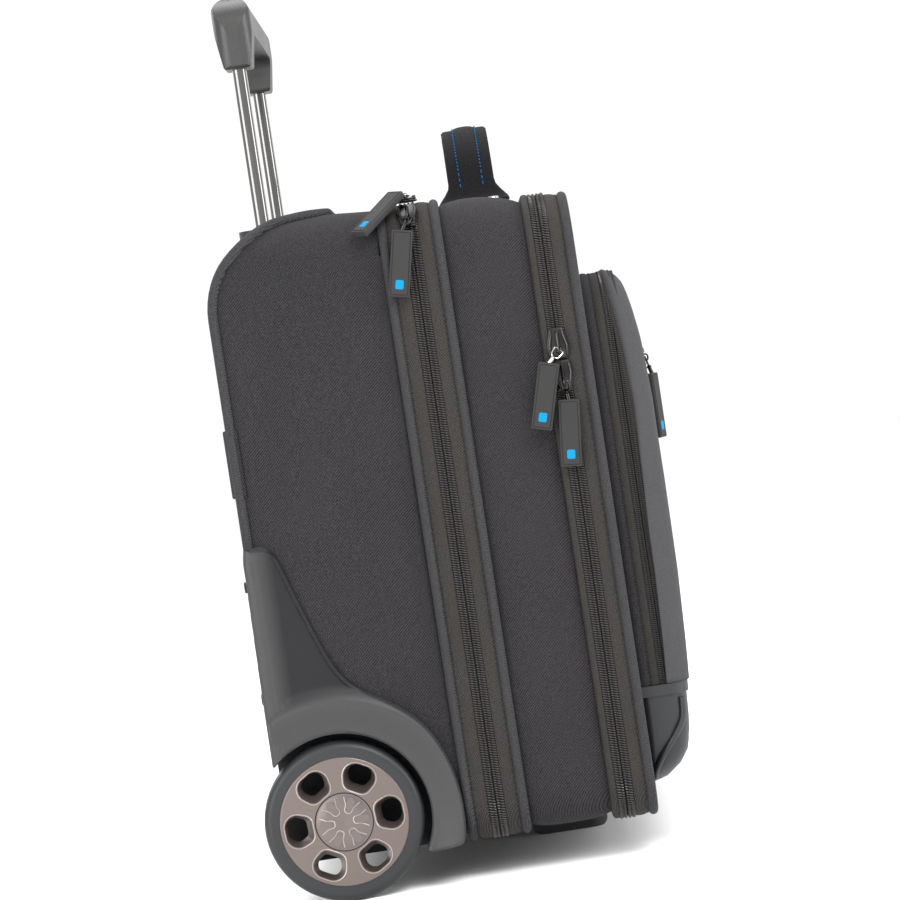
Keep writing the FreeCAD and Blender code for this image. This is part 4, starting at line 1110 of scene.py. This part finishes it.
def pocket_front(name, points, back_ys, partner_z, body, looks, slot, replaces, tape_columns=0):
    """A wall going forward from its seams, rounded into a front that runs to a level edge."""
    turns, across = 8, 30
    columns = len(back_ys) + turns + across
    verts = []
    first, last = points[0], points[-1]
    lengths = [0.0]
    for a, b in zip(points, points[1:]):
        lengths.append(lengths[-1] + math.hypot(b[0] - a[0], b[1] - a[1]))
    for i, (x, z, nx, nz) in enumerate(points):
        r = front_rounding(nz)
        front = face_y(x, z)
        start = front + r
        row = []
        for y in back_ys:
            level = back_ys[0] + (start - back_ys[0]) * (y - back_ys[0]) / (back_ys[-1] - back_ys[0])
            row.append((x, level, z))
        for k in range(1, turns + 1):
            seam = seam_angle(z)
            a = math.radians(seam * k / 4 if k <= 4 else seam + (90 - seam) * (k - 4) / 4)
            out = -r * (1 - math.cos(a))
            row.append((x + nx * out, start - r * math.sin(a), z + nz * out))
        ex, _, ez = row[-1]
        t_line = lengths[i] / lengths[-1]
        px = (first[0] - 12 * first[2]) * (1 - t_line) + (last[0] - 12 * last[2]) * t_line
        for k in range(1, across + 1):
            t = k / across
            fx, fz = ex + (px - ex) * t, ez + (partner_z - ez) * t
            row.append((fx, front + (face_y(fx, fz) - front) * smooth(0, 0.25, t), fz))
        verts += row
    faces = grid_faces(len(points), columns)
    marks = [1 if i % (columns - 1) < tape_columns else 0 for i in range(len(faces))]
    obj = piece(name, verts, faces, body, None, slot, replaces, sharp=55, looks=looks, face_looks=marks)
    thicken(obj, 2.2, "lining")


ARCH = POCKET_ARCH.points
# The cloth strip behind the pocket's zip, then the zip's tape.
sweep("pocket_gusset_cloth", POCKET_ARCH,
      [(-94.7, -2.6), (-94.7, -0.4), (-95.6, 0.4), (-97.4, 0.7), (-99.2, 0.5), (-100.2, -0.3),
       (-100.2, -2.6)], "front_lid", "twill", "twill", ("pocket_gusset",), uneven=0.3)
# Faces 4 to 6 of this tape lie under the teeth and take the dark material painted as shade between the coils.
sweep("pocket_back_tape", POCKET_ARCH,
      [(-100.0, -2.4), (-100.2, -0.2), (-102.0, 0.2), (-104.4, 0.3), (-105.4, 0.0), (-107.0, -0.5),
       (-109.35, -0.5), (-109.35, -2.4)], "front_lid", None, "zip_tape", uneven=0.1, looks=TAPE_AND_PAINTED_SHADE,
      look_of=lambda k: 1 if 4 <= k < 7 else 0)
teeth("pocket_back_teeth", POCKET_ARCH, CHAIN_P, -0.4, 1, "front_lid", pitch=1.25, scale=0.8, margin=2.0)
teeth("pocket_front_teeth", POCKET_ARCH, CHAIN_P, -0.4, -1, "pocket_front", pitch=1.25, scale=0.8, margin=2.0)
stitches("pocket_gusset_stitching", POCKET_ARCH, -101.2, 0.25, "front_lid", pitch=3.0, length=2.0, thick=0.3)
# Faces 0 to 2 of this tape lie under the teeth and take the dark material painted as shade between the coils.
sweep("pocket_front_tape", POCKET_ARCH,
      [(-109.65, -2.4), (-109.65, -0.5), (-112.0, -0.5), (-113.4, 0.1), (-115.0, 0.2), (-115.0, -2.4)],
      "pocket_front", None, "zip_tape", uneven=0.1, looks=TAPE_AND_PAINTED_SHADE, look_of=lambda k: 1 if k < 3 else 0)
pocket_front("pocket_front_skin", ARCH, [-114.2, -112.5], POCKET_SPLIT + 0.3, "pocket_front",
             ["panel", "tape"], "twill", ("pocket_flap",), tape_columns=5)


def on_rounding(x, z, nx, nz, degrees, lift):
    """A point on the pocket's rounded front edge."""
    r, a = front_rounding(nz) + lift, math.radians(degrees)
    out = lift - r * (1 - math.cos(a))
    return Vector((x + nx * out, face_y(x, z) + front_rounding(nz) - r * math.sin(a), z + nz * out))


def seam_rows():
    """The stitched rows and the raised fold where the tape meets the pocket's front."""
    for row in (0, 1):
        parts = []
        s = 6.0
        while s < POCKET_ARCH.total - 6:
            ends = []
            for d in (-1.05, 1.05):
                x, z, nx, nz = POCKET_ARCH.at(s + d)
                turn = min(86, seam_angle(z) + 11 + 9 * row + 58 * smooth(230, 165, z))
                ends.append(on_rounding(x, z, nx, nz, turn, 0.25))
            parts.append(bar([ends[0], ends[0].lerp(ends[1], 0.5), ends[1]], [0.18, 0.36, 0.18], 5))
            s += 3.2
        verts, faces = merged(parts)
        piece("pocket_seam_stitching_%d" % (row + 1), verts, faces, "pocket_front", "thread_dark", "zip_tape")
    verts, faces = bar([on_rounding(x, z, nx, nz, seam_angle(z), -0.45) for x, z, nx, nz in ARCH], 0.95, 10)
    piece("pocket_seam_fold", verts, faces, "pocket_front", "panel", "twill", sharp=80)


seam_rows()
BASE_TOP = POCKET_SPLIT - 0.4
LOWER = sorted((p for p in POCKET_RING.points if p[1] < POCKET_SPLIT - 1.5),
               key=lambda p: -math.atan2(p[1] - POCKET_SPLIT, p[0]))
LOWER = [(POCKET_HALF, BASE_TOP, 1.0, 0.0)] + LOWER + [(-POCKET_HALF, BASE_TOP, -1.0, 0.0)]
pocket_front("pocket_base_skin", LOWER, [-94.6, -98, -102, -106], BASE_TOP, "front_lid", ["leatherette"],
             "coated_panel", ("pocket_base",))


def pocket_base_trim():
    """The folded hem along the base's top edge with its stitching, and the cord round its side panels."""
    front = face_y(0, 90)
    path = rounded([(-POCKET_HALF, -94.8, 0), (-POCKET_HALF, front, 12), (POCKET_HALF, front, 12),
                    (POCKET_HALF, -94.8, 0)], 10.0, closed=False, turn_step=8.0)
    ways = path_normals(path, False)
    section = [(-0.4, 88.6), (0.5, 88.9), (0.9, 89.8), (0.9, 93.6), (0.5, 94.7), (-0.4, 95.0), (-1.2, 94.8),
               (-1.2, 88.6)]
    verts = []
    for (x, y), (nx, ny) in zip(path, ways):
        on_front = abs(x) < POCKET_HALF - 3
        for d, z in section:
            verts.append((x - nx * d, y - ny * d + (face_y(0, z) - front if on_front else 0.0), z))
    faces = grid_faces(len(path), len(section), False, True)
    faces += end_caps(len(section), len(verts))
    piece("pocket_base_hem", verts, faces, "front_lid", "leatherette", "coated_panel", sharp=50)
    fine = resampled(path, 3.3)
    fine_ways = path_normals(fine, False)
    parts = []
    for (x, y), (nx, ny), (x2, y2) in zip(fine, fine_ways, fine[1:]):
        a = Vector((x - nx * 1.0, y - ny * 1.0, 90.6))
        b = Vector((x2 - nx * 1.0, y2 - ny * 1.0, 90.6))
        parts.append(bar([a, a.lerp(b, 0.35), a.lerp(b, 0.7)], [0.15, 0.33, 0.15], 5))
    verts, faces = merged(parts)
    piece("pocket_base_stitching", verts, faces, "front_lid", "thread_dark", "coated_panel")
    for side, label in ((-1, "left"), (1, "right")):
        cord = []
        steps = [p for p in POCKET_RING.points if p[0] <= -POCKET_HALF + 14 and p[1] < 89]
        for x, z, nx, nz in reversed(steps):
            progress = smooth(78, 40, z)
            r = front_rounding(nz)
            y = (face_y(x, z) + r * 0.3) * (1 - progress) - 95.5 * progress
            out = pocket_wall(x, z, nx, nz, y) + 0.9
            cord.append((-side * (x + nx * out), y, z + nz * out))
        verts, faces = bar(cord, 1.9, 10)
        piece("pocket_base_cord_" + label, verts, faces, "front_lid", "leatherette", "coated_panel", sharp=80)


pocket_base_trim()


def slip_pocket_zip():
    """The level zip across the pocket's front: a tape in a welt, and its two rows of teeth."""
    half, rows = 172.0, 60
    xs = [-half + 2 * half * i / rows for i in range(rows + 1)]
    profile = [(-6.8, -1.0), (-6.8, 0.9), (-5.6, 1.5), (-4.2, 1.0), (-3.6, 0.4), (3.6, 0.4), (4.2, 1.4),
               (5.8, 2.2), (7.2, 1.5), (7.6, 0.5), (7.6, -1.0)]
    verts = [(x, face_y(x, SLIP_Z + d) - out, SLIP_Z + d) for x in xs for d, out in profile]
    count = len(profile)
    faces = grid_faces(len(xs), count, False, True) + end_caps(count, len(verts))
    marks = [0 if i % count == 4 else 1 for i in range(len(faces))]
    piece("slip_zip_welt", verts, faces, "pocket_front", None, "zip_tape", ("slip_zip",), sharp=50,
          looks=["tape", "panel"], face_looks=marks)
    for side, label in ((1, "upper"), (-1, "lower")):
        parts = []
        for k in range(int(2 * (half - 4) / 1.55)):
            x = -half + 4 + 1.55 * (k + (0.25 if side > 0 else 0.75))
            y = face_y(x, SLIP_Z) - 0.35
            points = [(x + 0.2 * d, y - h * 0.45, SLIP_Z + side * d) for d, _, h in TOOTH[::2]]
            parts.append(bar(points, [0.3, 0.5, 0.5, 0.35], 5))
        piece("slip_zip_teeth_" + label, *merged(parts), "pocket_front", "coil", "zip_tape")


slip_pocket_zip()

# ---- zip sliders, links and tags ----
LIFT, PLATE, LINK = 0.5, 2.0, 11.0
HINGE_OUT = LIFT + PLATE + 1.1
LEFT, RIGHT, FRONT = Vector((-1, 0, 0)), Vector((1, 0, 0)), Vector((0, -1, 0))
UP, DOWN = Vector((0, 0, 1)), Vector((0, 0, -1))


def top_corner(angle_deg):
    """A point on the left top corner of a zip, and the direction out of it there."""
    a = math.radians(angle_deg)
    out = Vector((-math.cos(a), 0, math.sin(a)))
    return Vector((-(HALF - R_TOP), CHAIN_1, TOP - R_TOP)) + out * (R_TOP + 4.5), out


def slider_part(place, bail_place):
    """A cast slider: shouldered body, raised side rails, a middle rib, and the bail for the link."""
    outline = rounded([(-8.5, -4.0, 1.5), (1.7, -6.5, 3), (8.5, -5.2, 2), (8.5, 5.2, 2), (1.7, 6.5, 3),
                       (-8.5, 4.0, 1.5)], turn_step=18.0)
    parts = [placed(place, slab(outline, 0.35, 1.4, 0.3)),
             placed(place, slab([(u * 0.96, v * 0.94) for u, v in outline], 1.5, 2.6, 0.45))]
    for side in (-1, 1):
        rail = [(-7.4, side * 3.0, 2.5), (-4.5, side * 3.5, 3.0), (1.5, side * 5.0, 3.1),
                (6.5, side * 4.4, 2.9), (7.8, side * 4.0, 2.4)]
        parts.append(placed(place, bar(rail, [0.4, 0.75, 0.9, 0.75, 0.4], 8)))
    rib = [(-7.6, 0, 2.3), (-5.5, 0, 3.0), (5.5, 0, 3.0), (7.6, 0, 2.3)]
    parts.append(placed(place, bar(rib, [0.5, 1.0, 1.0, 0.5], 8)))
    arch = [(u, 0, w) for u, w in rounded([(-1.9, 2.2, 0), (-1.9, 5.2, 1.4), (1.9, 5.2, 1.4), (1.9, 2.2, 0)],
                                          closed=False, turn_step=18.0)]
    parts.append(placed(bail_place, bar(arch, 0.52, 8)))
    return merged(parts)


def pull_parts(place, tag_place):
    """The link's ring and post, and the tag with its raised border and blue bar."""
    loop = rounded([(0.35, -2.9, 1.2), (0.35, 2.9, 1.2), (-5.4, 2.2, 2.0), (-5.4, -2.2, 2.0)], turn_step=18.0)
    ring = bar([(u, v, 0) for u, v in loop], 0.5, 8, closed=True)
    post = bar([(-5.0, 0, 0), (-6.2, 0, 0), (-6.6, 0, 0), (-8.6, 0, 0), (-10.8, 0, 0)],
               [0.9, 1.7, 1.2, 1.2, 1.3], 12)
    link = merged([placed(place, ring), placed(place, post)])
    body = rounded([(0, -6, 0.8), (0, 6, 0.8), (-38, 6, 0.8), (-38, -6, 0.8)], turn_step=30.0)
    panel = rounded([(-1.3, -4.8, 0.5), (-1.3, 4.8, 0.5), (-36.7, 4.8, 0.5), (-36.7, -4.8, 0.5)],
                    turn_step=30.0)
    tag = placed(tag_place, merged([slab(body, -1.9, 1.75, 0.35), slab(panel, 1.7, 1.9, 0.1, 1)]))
    mark = rounded([(-28.4, -2.3, 0.9), (-28.4, 2.3, 0.9), (-33.6, 2.3, 0.9), (-33.6, -2.3, 0.9)],
                   turn_step=18.0)
    mark = placed(tag_place, slab(mark, 1.85, 2.0, 0.05, 1))
    border = placed(tag_place, bar([(u, v, 1.84) for u, v in panel], 0.2, 6, closed=True))
    return link, tag, mark, border


corner_low, low_out = top_corner(45)
corner_high, high_out = top_corner(90)
side_x = -(HALF + 4.5)
SLIP_Y = -122.06 - 1.6
# Name, body, place, direction of travel, outward direction, side of its bail, then the ways of the link,
# of the tag and of the tag's face, and the link's finish.
PULLS = [
    ("zip1_side", "case_back", corner_low, (low_out.z, 0, -low_out.x), low_out, -1, (-0.58, 0.40, -0.71),
     (-0.05, 0.20, -0.98), LEFT, "slider"),
    ("zip1_top", "case_back", corner_high, (-high_out.z, 0, high_out.x), high_out, 1, (-0.87, 0.45, 0.20),
     (-0.55, 0.64, -0.54), (-0.50, 0.40, 0.77), "steel_ring"),
    ("zip2_upper", "zip2_upper_runner", Vector((side_x, CHAIN_2, 297)), DOWN, LEFT, 1, (-0.38, 0.68, -0.63),
     (0, 0.26, -0.966), LEFT, "steel_ring"),
    ("zip2_lower", "zip2_lower_runner", Vector((side_x, CHAIN_2, 278.5)), UP, LEFT, -1, (0, -0.11, -0.99),
     (0, 0.10, -0.99), LEFT, "slider"),
    ("pocket", "pocket_runner", Vector((POCKET_HALF, CHAIN_P, 290)), UP, RIGHT, -1, DOWN, DOWN, RIGHT,
     "slider"),
    ("slip", "slip_runner", Vector((-150, SLIP_Y, SLIP_Z)), RIGHT, FRONT, -1, (0, -0.25, -0.97), DOWN,
     (-0.34, -0.94, 0), "slider"),
]
for name, body, origin, along, out, bail_side, link_way, tag_way, tag_face, finish in PULLS:
    along, link_way, tag_way = Vector(along), Vector(link_way).normalized(), Vector(tag_way).normalized()
    foot = origin + along * (bail_side * 4.0)
    hinge = foot + out * HINGE_OUT
    flat_way = link_way - out * link_way.dot(out)
    tag_start = hinge + link_way * (LINK - 1.0)
    face = Vector(tag_face)
    face = (face - tag_way * face.dot(tag_way)).normalized()
    link_face = (out - link_way * out.dot(link_way)).normalized()
    verts, faces = slider_part(axes(origin, along, out), axes(foot, -flat_way, out))
    piece(name + "_slider_cast", verts, faces, body, "slider", "zip_metal", (name + "_slider",), sharp=40)
    link, tag, mark, border = pull_parts(axes(hinge, -link_way, link_face), axes(tag_start, -tag_way, face))
    piece(name + "_link_ring", *link, name + "_pull", finish, "zip_metal", (name + "_link",), sharp=40)
    piece(name + "_tag_plate", *tag, name + "_pull", "tag", "tag", (name + "_tag",), sharp=30)
    piece(name + "_tag_mark", *mark, name + "_pull", "mark", "tag", sharp=30)
    piece(name + "_tag_border", *border, name + "_pull", "groove", "tag")

# ---- floor, light and camera ----
floor_mesh = bpy.data.meshes.new("floor")
floor_mesh.from_pydata([(-6, -6, FLOOR), (6, -6, FLOOR), (6, 6, FLOOR), (-6, 6, FLOOR)], [], [(0, 1, 2, 3)])
floor_look = Nodes("pale_floor")
floor_look.set(Base_Color=(0.94, 0.94, 0.94))
floor_look.shader.inputs["Roughness"].default_value = 0.9
floor_mesh.materials.append(floor_look.material)
floor = bpy.data.objects.new("floor", floor_mesh)
bpy.context.collection.objects.link(floor)


def softbox(name, place, target, size, power):
    """A square area light facing a point."""
    light = bpy.data.lights.new(name, "AREA")
    light.size = size
    light.energy = power
    obj = bpy.data.objects.new(name, light)
    obj.location = place
    obj.rotation_euler = (Vector(target) - Vector(place)).to_track_quat("-Z", "Y").to_euler()
    bpy.context.collection.objects.link(obj)
    return obj


lights = [
    softbox("key", (-1.5, -0.7, 1.7), (-0.1, 0, 0.2), 1.0, 40),
    softbox("front", (-0.7, -2.0, 0.8), (-0.1, 0, 0.2), 1.0, 26),
    softbox("fill", (-1.8, 1.2, 0.5), (-0.1, 0, 0.2), 1.4, 36),
    softbox("top", (0.3, 0.3, 2.1), (0, 0, 0.2), 1.2, 24),
    softbox("rim", (1.2, 1.5, 1.2), (0, 0, 0.25), 1.2, 14),
]
world = bpy.data.worlds.new("studio")
world.use_nodes = True
background = world.node_tree.nodes["Background"]
background.inputs["Color"].default_value = (1.0, 1.0, 1.0, 1.0)
background.inputs["Strength"].default_value = 1.05
bpy.context.scene.view_settings.view_transform = "Standard"
bpy.context.scene.world = world

camera_data = bpy.data.cameras.new("camera")
camera_data.lens = 141.2
camera_data.sensor_width = 36.0
camera = bpy.data.objects.new("camera", camera_data)
eye, target = Vector((-2.22, -0.027, 0.301)), Vector((-0.22, -0.007, 0.2462))
forward = (target - eye).normalized()
roll = math.radians(8.6)
right = forward.cross(Vector((0, 0, 1))).normalized()
above = right.cross(forward)
tilted_up = above * math.cos(roll) + right * math.sin(roll)
tilted_right = forward.cross(tilted_up)
facing = Matrix((tilted_right, tilted_up, -forward)).transposed().to_4x4()
camera.matrix_world = Matrix.Translation(eye) @ facing
bpy.context.collection.objects.link(camera)
bpy.context.scene.camera = camera
